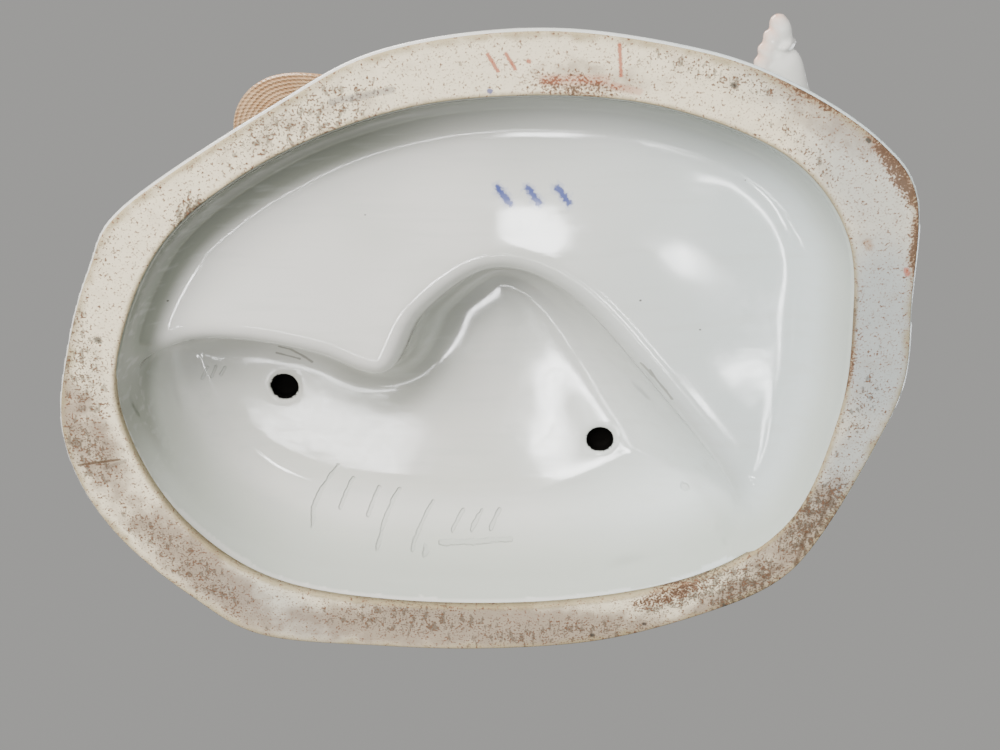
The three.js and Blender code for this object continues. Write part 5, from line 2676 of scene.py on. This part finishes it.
@dataclass
class Shepherd:
    """A barefoot shepherd on a rock, with a flute in one hand and flowers in the other.

    Args:
        heading: Where he faces, in degrees from the front towards +X.
        ground: Height of the ground under his feet.
        thigh_radii: Radii from the hip to the knee.
        calf_radii: Radii from the knee to the ankle.
        arm_radii: Radii from the shoulder to the wrist.
        right_leg: Places from the hip to the ankle.
        left_leg: Places from the hip to the ankle.
        right_arm: Places from the shoulder to the wrist.
        left_arm: Places from the shoulder to the wrist.
        posy: Place of the flowers in his hand.
    """

    heading: float = -21.0
    ground: float = 20.4
    thigh_radii: tuple[float, ...] = (13, 11.8, 10.2, 8.4)
    calf_radii: tuple[float, ...] = (7.6, 7.6, 5.2, 4.2)
    arm_radii: tuple[float, ...] = (8, 8.2, 7.5, 6)
    right_leg: tuple[Row, ...] = ((57, 14, 74), (66, -12, 79), (75, -37, 79), (79, -46, 66), (82, -52, 54),
                                  (83.5, -56, 42), (85, -59, 30))
    left_leg: tuple[Row, ...] = ((70, 16, 74), (88, 4, 78), (101, -8, 76), (105, -15, 66), (106, -20, 54),
                                 (104, -27, 40), (103, -30, 31))
    right_arm: tuple[Row, ...] = ((29, 16, 126), (18, 8, 114), (10, -3, 104), (4, -16, 108), (0, -26, 112))
    left_arm: tuple[Row, ...] = ((70, 1, 126), (86, -2, 114), (93, -9, 103), (88, -24, 98), (84, -33, 94))
    posy: Row = (-12, -44, 119)

    def coat(self) -> None:
        """Makes the jacket, its tails, sleeves, cuffs and buttons."""
        wide = across_at(self.heading)
        ahead, side = np.array(ahead_at(self.heading)), np.array(wide)
        jacket = ((62, 15, 66, 20, 17), (60, 14, 82, 17.5, 13.5), (56, 12, 98, 18.5, 13.5),
                  (52, 9, 113, 21.5, 14.0),
                  (50, 8, 125, 20, 10.5), (49, 7, 131, 12, 9))
        tails = ((62, 18, 84, 18, 14), (67, 25, 70, 24, 17), (70, 31, 54, 28, 17), (71, 34, 42, 30, 16))
        clay = Sculpt(1.15).add(Form(jacket, wide, ribbed(4, 0.012, 6, 0.008)))
        clay.add(Tower(tails, across_at(6), ribbed(6, 0.06, 0, 0.02), 2.0), blend=3.0)
        for arm, shoulder in ((self.right_arm, (38, 13, 125)), (self.left_arm, (62, 3, 125))):
            stations = [(*shoulder, 8.0), *jointed(arm[:4], self.arm_radii)]
            clay.add(Form(stations, ripple=ribbed(4, 0.04, 5, 0.02)), blend=2.5)
            wrist, before = np.array(arm[4], float), np.array(arm[3], float)
            way = unit_of(wrist - before)
            clay.add(Form([(*(before + way * 1.0), 6.9), (*(before + way * 6.0), 7.8)], flat=True),
                     blend=0.7)
            clay.cut(Form([(*(before + way * 5.0), 5.4), (*(before + way * 9.0), 5.6)], flat=True),
                     blend=0.5)
        front = self.breast(ahead)
        opening = [(*(place + ahead * 4.0), width) for place, width in front]
        clay.cut(Form(opening, wide), blend=1.2)
        made = clay.skin(1)
        made.carved(0.22 * Waves(9.0, 14, 9).at(made.points * np.array([1.0, 1.0, 0.5])))
        finish = painted("coat_glaze", (150, 128, 168), (190, 172, 200), 5.0, depth=0.1)
        make_piece("coat", made, finish)
        vest = Sculpt(0.95).add(Form(((60, 14, 70, 14, 14.5), (59, 13, 84, 13.5, 12.4),
                                      (55.5, 11.6, 98, 14, 12.4),
                                     (51.6, 8.4, 112, 16, 12.4), (49.8, 7, 124, 12, 9.6)), wide))
        cloth = painted("vest_glaze", (236, 214, 142), (240, 230, 190), 4.0,
                       pattern=Pattern.STRIPES, accent=tone(188, 118, 96))
        make_piece("waistcoat", vest.skin(1), cloth)
        studs = Sculpt(0.45)
        for place, width in front[1:]:
            studs.add(Egg(place + ahead * 0.6, (1.1, 1.1, 1.1)), blend=0.2)
            for turn in (-1, 1):
                studs.add(Egg(place + side * (width + 3.2) * turn + ahead * 0.2, (1.3, 1.3, 1.3)),
                          blend=0.2)
        gold = painted("gilding", (196, 152, 66), (224, 188, 104), 1.0, roughness=0.2)
        make_piece("buttons", studs.skin(1), gold)

    def breast(self, ahead: Array) -> list[tuple[Array, float]]:
        """Finds places down the front of the body.

        Args:
            ahead: Where the body faces.

        Returns:
            Places and half widths of the coat's opening.
        """
        rows = ((49.6, 7.2, 126, 9.0, 2.0), (51.6, 8.4, 116, 12.6, 3.4), (54.4, 10.8, 105, 13.4, 4.6),
                (57, 12.6, 94, 13.2, 5.6), (59.6, 13.6, 83, 13.4, 7.0))
        return [(np.array([x, y, z]) + ahead * depth, width) for x, y, z, depth, width in rows]

    def limbs(self) -> None:
        """Makes the breeches, legs, feet, hands and neck."""
        cloth, flesh = Sculpt(1.05), Sculpt(0.72)
        for leg in (self.right_leg, self.left_leg):
            cloth.add(Form(jointed(leg[:4], self.thigh_radii), ripple=ribbed(5, 0.03, 5, 0.018)), blend=2.0)
            end = np.array(leg[3], float)
            band = unit_of(end - leg[2])
            cloth.add(Form([(*(end + band * 4.4), 8.7), (*(end + band * 6.6), 8.6)], flat=True), blend=0.4)
            flesh.add(Form(jointed(leg[3:], self.calf_radii)), blend=1.0)
            calf = np.array(leg[4], float) * 0.55 + np.array(leg[5], float) * 0.45
            flesh.add(Egg(calf + np.array([-1.5, 4.2, 4.0]), (4.6, 4.0, 9.0), (-12, 0, 0)), blend=3.0)
        breeches = painted("breeches_glaze", (140, 166, 152), (182, 198, 184), 6.0)
        make_piece("breeches", cloth.skin(1), breeches)
        feet = (Foot((88, -58, self.ground), -28, False), Foot((103.5, -24, self.ground), -12, True))
        tips: list[Array] = []
        for foot in feet:
            for solid in foot.solids():
                flesh.add(solid, blend=2.0)
            for solid in foot.toe_solids():
                flesh.add(solid, blend=0.2)
            tips += foot.tips()
        hands = (Hand((-1, -29, 113), (-0.55, -0.75, 0.35), (-0.2, 0.3, -0.9)),
                 Hand((83, -36, 93), (-0.55, -0.75, -0.4), (-0.1, 0.3, -0.95), 4.0, True))
        for arm, hand in zip((self.right_arm, self.left_arm), hands):
            flesh.add(Form([(*arm[3], 4.4), (*arm[4], 4.0), (*hand.wrist, 3.7)]), blend=1.0)
            for k, solid in enumerate(hand.solids()):
                flesh.add(solid, blend=1.4 if k == 0 else 0.35)
        flesh.add(Form([(50, 7, 126, 7.5), (48.6, 5.6, 136, 6.6), (45.6, 2.8, 147, 6.2)]), blend=1.5)
        skin = flesh.skin(1)
        knuckles = [np.array(hand.wrist) + np.array(Vector(hand.ahead).normalized()) * 19 for hand in hands]
        skin.values = blushing(skin.points, tips + knuckles, 4.2)
        make_piece("shepherd_limbs", skin, Flesh("limbs_glaze"), Slot.PORCELAIN)
        shirt = Sculpt(0.6)
        for arm, hand in zip((self.right_arm, self.left_arm), hands):
            elbow = np.array(arm[3], float)
            way = unit_of(hand.wrist - elbow)
            start = elbow + way * 4.0
            shirt.add(Form([(*start, 4.6), (*(start + way * 4.4), 6.6)], ripple=ribbed(11, 0.08),
                           flat=True), blend=0.4)
        for k in range(3):
            ahead = np.array(ahead_at(self.heading)) * (7.0 + 1.6 * k)
            place = np.array([48.2, 4.6, 130.0 - 4.2 * k]) + ahead
            shirt.add(Egg(place, (5.6 - 0.8 * k, 2.4, 3.4), (0, 0, self.heading), ripple=ribbed(7, 0.1)),
                      blend=0.5)
        shirt.add(Form([(48.8, 6.2, 130.0, 8.8), (48.2, 5.4, 134.5, 8.3)], ripple=ribbed(16, 0.02),
                       flat=True), blend=0.6)
        linen = Enamel("linen_glaze", second=tone(214, 218, 222), streaks=3.0)
        make_piece("shirt", shirt.skin(1), linen, Slot.PORCELAIN)

    def hat(self) -> None:
        """Makes the round hat with its turned-up brim and cockade."""
        clay = Sculpt(0.75)
        clay.add(Tower(((46.6, 4.8, 165.4, 17.5), (47, 5, 166.6, 19), (47, 5, 168.2, 18.2)), soft=1.0,
                       ripple=lambda angle, share: 1 + 0.05 * np.cos(3 * angle + 0.6)))
        clay.add(Tower(((46.6, 4.8, 166, 12), (46, 4.5, 171, 10.8), (46, 4, 176.6, 9.2)), soft=2.6),
                 blend=1.6)
        for k in range(3):
            a = math.radians(120 * k - 60)
            way, beside = np.array([math.cos(a), math.sin(a), 0]), np.array([-math.sin(a), math.cos(a), 0])
            middle = np.array([47.0, 5.0, 168.6]) + way * 14.2
            clay.add(Form([(*(middle - beside * 9 - way * 2), 1.0, 0.9),
                           (*(middle + [0, 0, 3.0]), 2.8, 1.0),
                           (*(middle + beside * 9 - way * 2), 1.0, 0.9)], (0, 0, 1)), blend=1.6)
        felt = painted("felt_glaze", (64, 52, 48), (96, 80, 72), 4.0)
        make_piece("shepherd_hat", clay.skin(1), felt)
        band = Sculpt(0.55).add(Form(((46.4, 4.7, 168.6, 12.2), (46.3, 4.6, 171.0, 11.8)), flat=True),
                                blend=0.4)
        band.add(Egg((36.5, -2.0, 171.5), (2.6, 2.6, 3.0), (0, 0, 40), ripple=ribbed(6, 0.12)), blend=0.5)
        red = painted("band_glaze", (176, 70, 66), (204, 112, 98), 2.0)
        make_piece("hat_band", band.skin(1), red)

    def flute(self) -> None:
        """Makes the flute with its rings and holes."""
        start, end = np.array([96.0, -53.0, 97.0]), np.array([60.0, -33.0, 88.0])
        clay = Sculpt(0.5).add(Form([(*start, 2.0), (*end, 2.4)], flat=True), blend=0.3)
        for share in (0.03, 0.28, 0.7, 0.97):
            place, way = start + (end - start) * share, unit_of(end - start)
            clay.add(Form([(*(place - way * 0.6), 2.75), (*(place + way * 0.6), 2.75)], flat=True),
                     blend=0.4)
        for k in range(6):
            place = start + (end - start) * (0.38 + 0.08 * k) + np.array([-0.6, -0.9, 2.2])
            clay.cut(Egg(place, (0.75, 0.75, 0.9)), blend=0.2)
        wood = painted("flute_glaze", (206, 170, 112), (226, 200, 150), 3.0)
        make_piece("flute", clay.skin(1), wood)

    def build(self) -> None:
        """Makes the shepherd."""
        self.coat()
        self.limbs()
        self.hat()
        self.flute()
        hair = painted("dark_hair", (112, 82, 58), (156, 122, 88), 1.6, depth=0.25)
        Head((44, 1, 155), -52, 12, Hair.QUEUE, 167.4).build("shepherd", hair)
        x, y, z = self.posy
        Flowers([(x + 4.2 * math.cos(a) * s, y + 4.2 * math.sin(a) * s, z + 5.2 - 2.2 * s, 3.1)
                 for s, a in ((0.0, 0.0), (1.0, 0.3), (1.0, 1.6), (1.0, 2.8), (1.0, 4.1), (1.0, 5.3))],
                "posy").build()
        leaves = Sculpt(0.5).add(Egg((x, y, z - 0.5), (5.6, 5.2, 4.6), ripple=ribbed(6, 0.14)))
        green = painted("posy_leaf_glaze", (104, 134, 84), (146, 166, 112), 2.0)
        make_piece("posy_leaves", leaves.skin(1), green)


@dataclass
class Flowers:
    """Small applied flowers of five petals.

    Args:
        places: Places of the flowers and their sizes.
        name: First part of the pieces' names.
        tilt: How far the flowers lean, in degrees.
    """

    places: Sequence[Row]
    name: str
    tilt: float = 24.0

    def build(self) -> None:
        """Makes the petals and the hearts."""
        kinds = (tone(226, 130, 142), tone(238, 214, 120), tone(134, 152, 204))
        hearts = Sculpt(0.4)
        clays = [Sculpt(0.46) for _ in kinds]
        for k, (x, y, z, size) in enumerate(self.places):
            lean = Euler((math.radians(self.tilt * math.sin(2.1 * k)),
                          math.radians(self.tilt * math.cos(3.3 * k)), 0.7 * k))
            turn = np.array(lean.to_matrix())
            for petal in range(5):
                a = 2 * math.pi * petal / 5
                at = turn @ np.array([math.cos(a) * size * 0.58, math.sin(a) * size * 0.58, 0.0])
                tip = turn @ np.array([math.cos(a) * size * 1.02, math.sin(a) * size * 1.02, size * 0.22])
                centre = np.array([x, y, z])
                wide = tuple(turn @ np.array([-math.sin(a), math.cos(a), 0.0]))
                clays[k % 3].add(Form([(*(centre + at * 0.3), size * 0.2, 0.5),
                                       (*(centre + at), size * 0.42, 0.55),
                                       (*(centre + tip), size * 0.26, 0.45)], wide, steps=3), blend=0.25)
            hearts.add(Egg(np.array([x, y, z]) + turn @ np.array([0, 0, 0.5]), (size * 0.24,) * 3),
                       blend=0.1)
        for k, (clay, colour) in enumerate(zip(clays, kinds)):
            if clay.strokes:
                finish = Enamel(f"{self.name}_petal_glaze_{k}", colour=colour, second=tone(240, 232, 228),
                                streaks=1.6)
                make_piece(f"{self.name}_petals_{k}", clay.skin(1), finish)
        gold = painted(f"{self.name}_heart_glaze", (214, 160, 52), (232, 196, 96), 1.0)
        make_piece(f"{self.name}_hearts", hearts.skin(0), gold)


@dataclass
class Growth:
    """Flowers and leaves on the ground.

    Args:
        rocks: The rocks that they grow on.
        beds: Places of the plants and the lengths of their leaves.
    """

    rocks: Rocks
    beds: tuple[Row, ...] = ((45, -65, 10), (63, -54, 7), (-2, -77, 5.5), (98, 6, 10), (-100, 18, 9),
                             (22, 72, 11),
                             (-44, 76, 10), (84, 58, 10), (-84, 58, 10), (10, 2, 8))

    def build(self) -> None:
        """Makes the plants."""
        clay = Sculpt(0.6)
        flowers = []
        for bed, (x, y, leaf) in enumerate(self.beds):
            z = self.rocks.ground(x, y)
            for k in range(5):
                heading = bed * 40 + 72 * k
                ahead = np.array(ahead_at(heading))
                size = leaf * (1.0 if k % 2 == 0 else 0.75)
                foot = np.array([x, y, z + 0.6])
                drop = np.array([0.0, 0.0, self.rocks.ground(*(foot + ahead * size)[:2]) - z])
                drop = drop * float(np.clip(4.0 / (np.abs(drop[2]) + 1e-6), 0.0, 1.0))
                blade = []
                for share, lift, wide, deep in ((0.0, 0.0, 0.1, 0.8), (0.4, 0.14, 0.26, 0.75),
                                                (0.75, 0.2, 0.2, 0.65),
                                                (1.0, 0.18, 0.05, 0.5)):
                    place = foot + ahead * size * share + np.array([0, 0, lift * size]) + drop * share
                    blade.append((*place, size * wide, deep))
                clay.add(Form(blade, across_at(heading), steps=4), blend=0.5)
            flowers.append((x, y, z + 2.6, 0.44 * leaf))
            flowers.append((x + 4.0 * math.cos(bed), y + 4.0 * math.sin(bed), z + 2.2, 0.32 * leaf))
        made = clay.cut(self.rocks.base.hem(), blend=0.5).skin(1)
        green = painted("leaf_glaze", (98, 130, 80), (150, 168, 112), 2.2)
        make_piece("leaves", made, green)
        Flowers(flowers, "ground").build()


@dataclass
class Sheep:
    """A sheep that lies with its forelegs stretched out.

    Args:
        step: Size of the cells that the fleece is read from.
    """

    step: float = 0.78

    def build(self) -> None:
        """Makes the sheep."""
        clay = Sculpt(self.step)
        clay.add(Form(((30, -54, 28, 9, 9), (22, -55, 31, 12.2, 11.2), (8, -57, 32, 12.2, 11.7),
                       (-3, -58, 34, 9.5, 10.5)),
                      (0, 1, 0)))
        clay.add(Form(((-2, -58, 38, 7.5), (-8, -59, 48, 6)),), blend=3.0)
        clay.add(Form(((31, -52, 26, 3.2), (35, -50, 21, 2.4))), blend=2.0)
        wool = clay.skin(1)
        curls = Waves(4.6, 17, 14).at(wool.points)
        ridges = np.abs(Waves(6.4, 23, 10).at(wool.points))
        wool.carved(0.55 * curls + 0.7 * np.minimum(ridges * 1.8, 1.0) - 0.55)
        fleece = painted("fleece_glaze", (236, 234, 228), (206, 196, 182), 3.4, depth=0.3)
        make_piece("fleece", wool, fleece, Slot.PORCELAIN)
        bare = Sculpt(0.56)
        bare.add(Form([(-6, -58.7, 51.5, 5.4, 5), (-10.5, -60, 50.5, 4.9, 4.5),
                       (-14.5, -61.4, 48.2, 3.9, 3.6),
                       (-18, -62.5, 46, 3, 2.7)]))
        for ears in (((-6, -54, 51, 1.5, 2.2), (-4.2, -51, 50.4, 1.1, 3.0), (-3, -48, 47.6, 0.8, 1.8)),
                     ((-7, -64, 51, 1.5, 2.2), (-6, -67.4, 50.4, 1.1, 3.0), (-5, -70, 47.6, 0.8, 1.8))):
            bare.add(Form(ears), blend=0.8)
        for legs in (((-3, -64, 24, 3), (-12, -70, 22, 2.2), (-17, -70, 21.6, 2), (-20, -70, 21.5, 2.3)),
                     ((-2, -52, 24, 3), (-10, -54, 22, 2.2), (-15, -57, 21.6, 2), (-18, -58, 21.5, 2.3)),
                     ((24, -62, 25, 5), (16, -69, 22, 2.6), (11, -70.6, 21.6, 2), (8, -71, 21.5, 2.3))):
            bare.add(Form(legs), blend=0.8)
        for place in ((-11.6, -56.6, 51.9), (-13.0, -63.8, 51.4)):
            bare.add(Egg(place, (1.1, 1.1, 1.1)), blend=0.3)
        bare.cut(Form([(-19.6, -60.9, 44.6, 0.25), (-20.6, -62.9, 44.4, 0.25), (-18.9, -64.8, 44.4, 0.25)]),
                 blend=0.4)
        made = bare.skin(1)
        eyes = [np.array((-11.9, -56.0, 52.1)), np.array((-13.3, -64.5, 51.6))]
        nose = [np.array((-20.4, -62.0, 46.4)), np.array((-20.2, -64.2, 46.2))]
        hooves = [np.array((-21, -70, 21)), np.array((-19, -58, 21)), np.array((7, -71, 21))]
        none = np.zeros(len(made.points))
        made.values = {"blush": nearness(made.points, nose, 4.0),
                       "eye": nearness(made.points, hooves, 4.5) * 1.4,
                       "pupil": nearness(made.points, eyes, 2.4) * 1.6, "line": none, "lip": none}
        make_piece("sheep_skin", made, Flesh("sheep_glaze"), Slot.PORCELAIN)


@dataclass
class FootRing:
    """The unglazed face that the group stands on.

    Args:
        base: The base that it belongs to.
        inset: How far its edge lies inside the base's outer line.
        lip: How far its inner edge lies outside the hollow.
        depth: How thick the layer is.
        sides: Steps round the ring.
        grime: Where it is dirty.
        rust: Where its rim is rubbed brown.
        tan: Where it is stained tan.
        ring_shade: Where the ring is painted with shade, mostly on its right side away from the light.
    """

    base: Base
    inset: float = 0.9
    lip: float = 0.5
    depth: float = 2.6
    sides: int = 900
    grime: tuple[Blob, ...] = (
        Blob(-44, -68, 27, 8, -24, 0.8), Blob(-73, -44, 7, 5, -50, 1.25), Blob(-107, -4, 26, 7, 84, 0.85),
        Blob(-108, 24, 14, 8, 60, 0.9), Blob(-84, 60, 32, 7, 48, 0.8), Blob(-20, 80, 34, 6, 4, 0.85),
        Blob(24, 84, 40, 5, -4, 0.8), Blob(60, 70, 18, 5, -28, 1.2), Blob(76, 68, 16, 8, -38, 1.1),
        Blob(94, 46, 18, 9, -62, 1.15), Blob(103, 10, 14, 5, -72, 0.6), Blob(100, -66, 20, 4, 50, 0.75),
        Blob(60, -79, 24, 4, 18, 0.7), Blob(96, -8, 16, 2.5, -84, 1.2), Blob(82, -60, 14, 3, 44, 0.7),
        Blob(-96, -34, 8, 4, -60, 0.5),
    )
    rust: tuple[Blob, ...] = (
        Blob(84, -75, 16, 3, 26, 1.0), Blob(104, -57, 16, 2.5, 56, 1.1), Blob(113, -35, 12, 2.5, 84, 1.0),
        Blob(23, -77, 12, 3, 4, 0.6), Blob(54, 71, 12, 2.5, -22, 0.8),
        Blob(97, 5, 14, 2.0, -78, 0.9),
    )
    tan: tuple[Blob, ...] = (
        Blob(0, 82, 75, 9, 2, 1.0), Blob(-80, 62, 36, 9, 50, 0.9), Blob(-107, 20, 26, 8, 70, 0.8),
        Blob(88, 52, 26, 10, -58, 0.8), Blob(-50, -67, 30, 8, -26, 0.2), Blob(86, -70, 26, 7, 34, 0.6),
        Blob(28, -79, 18, 5, 4, 0.5), Blob(70, 74, 20, 6, -36, 0.9),
    )
    # Painted shade, mostly on the ring's right side, away from the light.
    ring_shade: tuple[Blob, ...] = (
        Blob(106, -10, 40, 16, 84, 1.0), Blob(98, -52, 26, 12, 55, 0.7), Blob(76, -77, 16, 8, 24, 0.35),
        Blob(104, 26, 22, 10, -66, 0.9), Blob(-60, 76, 24, 8, 32, 0.5),
    )

    def reach(self, outline: Outline, inset: float, ways: Array) -> Array:
        """Finds how far from the middle a line inside an outline is.

        Args:
            outline: The outline.
            inset: How far inside it the line runs.
            ways: Directions from the middle, one a row.

        Returns:
            The distances.
        """
        low, high = np.full(len(ways), 20.0), np.full(len(ways), 135.0)
        for _ in range(22):
            middle = (low + high) / 2
            inside = outline.inset(ways * middle[:, None]) > inset
            low, high = np.where(inside, middle, low), np.where(inside, high, middle)
        return low

    def skin(self) -> Skin:
        """Builds the ring.

        Returns:
            Its mesh, with its stains kept at the vertices.
        """
        angles = np.linspace(0.0, 2 * math.pi, self.sides, endpoint=False)
        ways = np.stack([np.cos(angles), np.sin(angles)], 1)
        outer = self.reach(self.base.foot, self.inset, ways)
        inner = self.reach(self.base.mouth, -self.lip, ways)
        rows = [(0.0, self.depth), (0.0, 0.55), (0.12, 0.18), (0.45, 0.0)]
        across = [(0.0, a, b) for a, b in rows] + [(k / 16, 0.0, 0.0) for k in range(1, 16)]
        across += [(1.0, -a, b) for a, b in reversed(rows)]
        rings = []
        for share, shift, height in across:
            radius = outer + (inner - outer) * share - shift
            flat = ways * radius[:, None]
            worn = 0.12 * Waves(18.0, 3).at(np.stack([flat[:, 0], flat[:, 1], 0 * radius], 1))
            rings.append(np.stack([flat[:, 0], flat[:, 1], height + np.maximum(worn, 0.0) * (height < 0.1)],
                                  1))
        count, n = len(rings), self.sides
        index = np.arange(count * n).reshape(count, n)
        ahead = np.roll(index, -1, 1)
        after = np.roll(index, -1, 0)
        faces = np.stack([index, after, np.roll(after, -1, 1), ahead], -1).reshape(-1, 4)
        made = Skin(np.concatenate(rings), faces)
        points = made.points
        made.values = {
            "grime": patches(self.grime, points),
            "rust": patches(self.rust, points),
            "tan": patches(self.tan, points),
            "ring_shade": patches(self.ring_shade, points),
            "outer": self.base.foot.inset(points) - self.inset,
            "inner": -self.base.mouth.inset(points) - self.lip,
        }
        return made

    def build(self) -> None:
        """Makes the ring."""
        make_piece("foot_ring", self.skin(), Biscuit(), Slot.BISCUIT)


@dataclass
class Studio:
    """Camera, pale floor and soft lights.

    Args:
        eye: Place of the camera in millimetres.
        aim: What it looks at.
        lens: Its focal length.
        sensor: Width of its sensor.
        floor_reach: How far the floor is solid.
        floor_fade: How far it fades out.
        floor_sides: Steps round the floor.
        floor_drop: How far the floor lies below the foot ring.
        room: Colour of the light from all sides.
        room_light: Strength of that light.
    """

    eye: Row = (5.35, -156.31, -337.15)
    aim: Row = (5.35, 0.9, 0.0)
    lens: float = 50.0
    sensor: float = 36.0
    floor_reach: float = 0.5
    floor_fade: float = 1.1
    floor_sides: int = 64
    floor_drop: float = 0.0006
    room: Colour = tone(224, 223, 220)
    room_light: float = 0.5

    def camera(self) -> None:
        """Sets the camera up below the front, with the group's front at the top of the picture."""
        data = bpy.data.cameras.new("camera")
        data.lens, data.sensor_width = self.lens, self.sensor
        data.clip_start, data.clip_end = 0.01, 20.0
        camera = bpy.data.objects.new("camera", data)
        bpy.context.scene.collection.objects.link(camera)
        look = (Vector(self.aim) - Vector(self.eye)).normalized()
        up = Vector((0, -1, 0))
        up = (up - look * up.dot(look)).normalized()
        turn = Matrix((look.cross(up), up, -look)).transposed().to_4x4()
        camera.matrix_world = Matrix.Translation(Vector(self.eye) * MM) @ turn
        bpy.context.scene.camera = camera

    def floor(self) -> None:
        """Lays the floor: a disc that fades out, shows from above only and lets all light through."""
        sides = self.floor_sides
        angles = np.linspace(0.0, 2 * math.pi, sides, endpoint=False)
        ring = np.stack([np.cos(angles), np.sin(angles)], 1)
        flat = np.concatenate([ring * self.floor_reach, ring * self.floor_fade, [[0.0, 0.0]]])
        points = np.column_stack([flat, np.full(len(flat), -self.floor_drop)])
        here = np.arange(sides)
        after = (here + 1) % sides
        rim = np.stack([here, sides + here, sides + after, after], 1)
        middle = np.stack([np.full(sides, 2 * sides), here, after], 1)
        mesh = bpy.data.meshes.new("floor")
        mesh.from_pydata(points.tolist(), [], rim.tolist() + middle.tolist())
        clear = np.concatenate([np.zeros(sides), np.ones(sides), [0.0]])
        store = mesh.attributes.new("clear", "FLOAT", "POINT")
        store.data.foreach_set("value", clear.astype(np.float32))
        mesh.materials.append(self.paper())
        made = bpy.data.objects.new("floor", mesh)
        bpy.context.scene.collection.objects.link(made)
        for side in ("diffuse", "glossy", "transmission", "shadow"):
            setattr(made, f"visible_{side}", False)

    def paper(self) -> Material:
        """Makes the floor's pale paper.

        Returns:
            The material.
        """
        s = Shader("pale_paper")
        s.set("Base Color", s.mix(s.noise(60.0, 2.0), tone(203, 201, 197), tone(208, 206, 203)))
        s.set("Roughness", 0.95)
        s.set("Specular IOR Level", 0.1)
        back = s.node("ShaderNodeNewGeometry").outputs["Backfacing"]
        s.set("Alpha", s.math("MULTIPLY", s.ramp(s.kept("clear"), 0.0, 1.0, 1.0, 0.0),
                              s.math("SUBTRACT", 1.0, back)))
        return s.material

    def light(self, name: str, place: Row, aim: Row, size: Row, watts: float,
              colour: Row) -> bpy.types.Object:
        """Hangs a soft light.

        Args:
            name: Its name.
            place: Its place in metres.
            aim: What it points at in metres.
            size: Its width and height.
            watts: Its power.
            colour: Its colour.

        Returns:
            The light.
        """
        data = bpy.data.lights.new(name, "AREA")
        data.shape = "RECTANGLE"
        data.size, data.size_y = size
        data.energy, data.color = watts, colour
        made = bpy.data.objects.new(name, data)
        bpy.context.scene.collection.objects.link(made)
        made.location = place
        made.rotation_euler = (Vector(aim) - Vector(place)).to_track_quat("-Z", "Y").to_euler()
        return made

    def build(self) -> None:
        """Makes the studio."""
        self.camera()
        self.floor()
        world = bpy.data.worlds.new("room")
        world.use_nodes = True
        sky = world.node_tree.nodes["Background"]
        sky.inputs["Color"].default_value = self.room
        sky.inputs["Strength"].default_value = self.room_light
        bpy.context.scene.world = world
        self.light("key", (-0.55, -0.75, 0.85), (0, 0, 0.07), (0.7, 0.7), 15.0, (1.0, 0.97, 0.93))
        self.light("side", (0.9, 0.35, 0.6), (0, 0, 0.07), (0.5, 0.8), 5.0, (0.93, 0.96, 1.0))
        for name, place, size, watts, colour in (
            ("sky", (-0.5, -0.85, -0.85), (1.2, 0.8), 39.0, (1.0, 0.98, 0.94)),
            ("fill", (0.3, -0.5, -1.1), (0.5, 0.4), 4.0, (0.9, 0.97, 1.0)),
        ):
            self.light(name, place, (0.0, 0.0, 0.0), size, watts, colour).visible_glossy = False
        for name, place, size, watts in (
            ("pane", (0.11, 0.13, -1.17), (0.15, 0.13), 2.4),
            ("tall_pane", (0.06, 0.55, -1.04), (0.035, 0.13), 0.7),
            ("right_gap", (0.228, 0.415, -1.1), (0.022, 0.13), 0.45),
            ("low_gap", (0.34, 0.49, -1.1), (0.15, 0.026), 0.55),
            ("left_gap", (-0.19, 0.58, -1.02), (0.2, 0.02), 0.4),
            ("middle_gap", (-0.03, 0.67, -0.98), (0.2, 0.016), 0.35),
        ):
            self.light(name, place, (0.0, 0.0, 0.02), size, watts,
                       (0.97, 0.98, 1.0)).visible_diffuse = False


def main() -> None:
    """Builds the group and its studio."""
    logging.basicConfig(level=logging.INFO, format="%(message)s")
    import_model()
    base = Base()
    body = base.build()
    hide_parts(NODE)
    FootRing(base).build()
    rocks = Rocks(base)
    rocks.build()
    Stump(base).build()
    Shepherdess(base).build()
    Shepherd().build()
    Sheep().build()
    Growth(rocks).build()
    Studio().build()


if __name__ == "__main__":
    main()
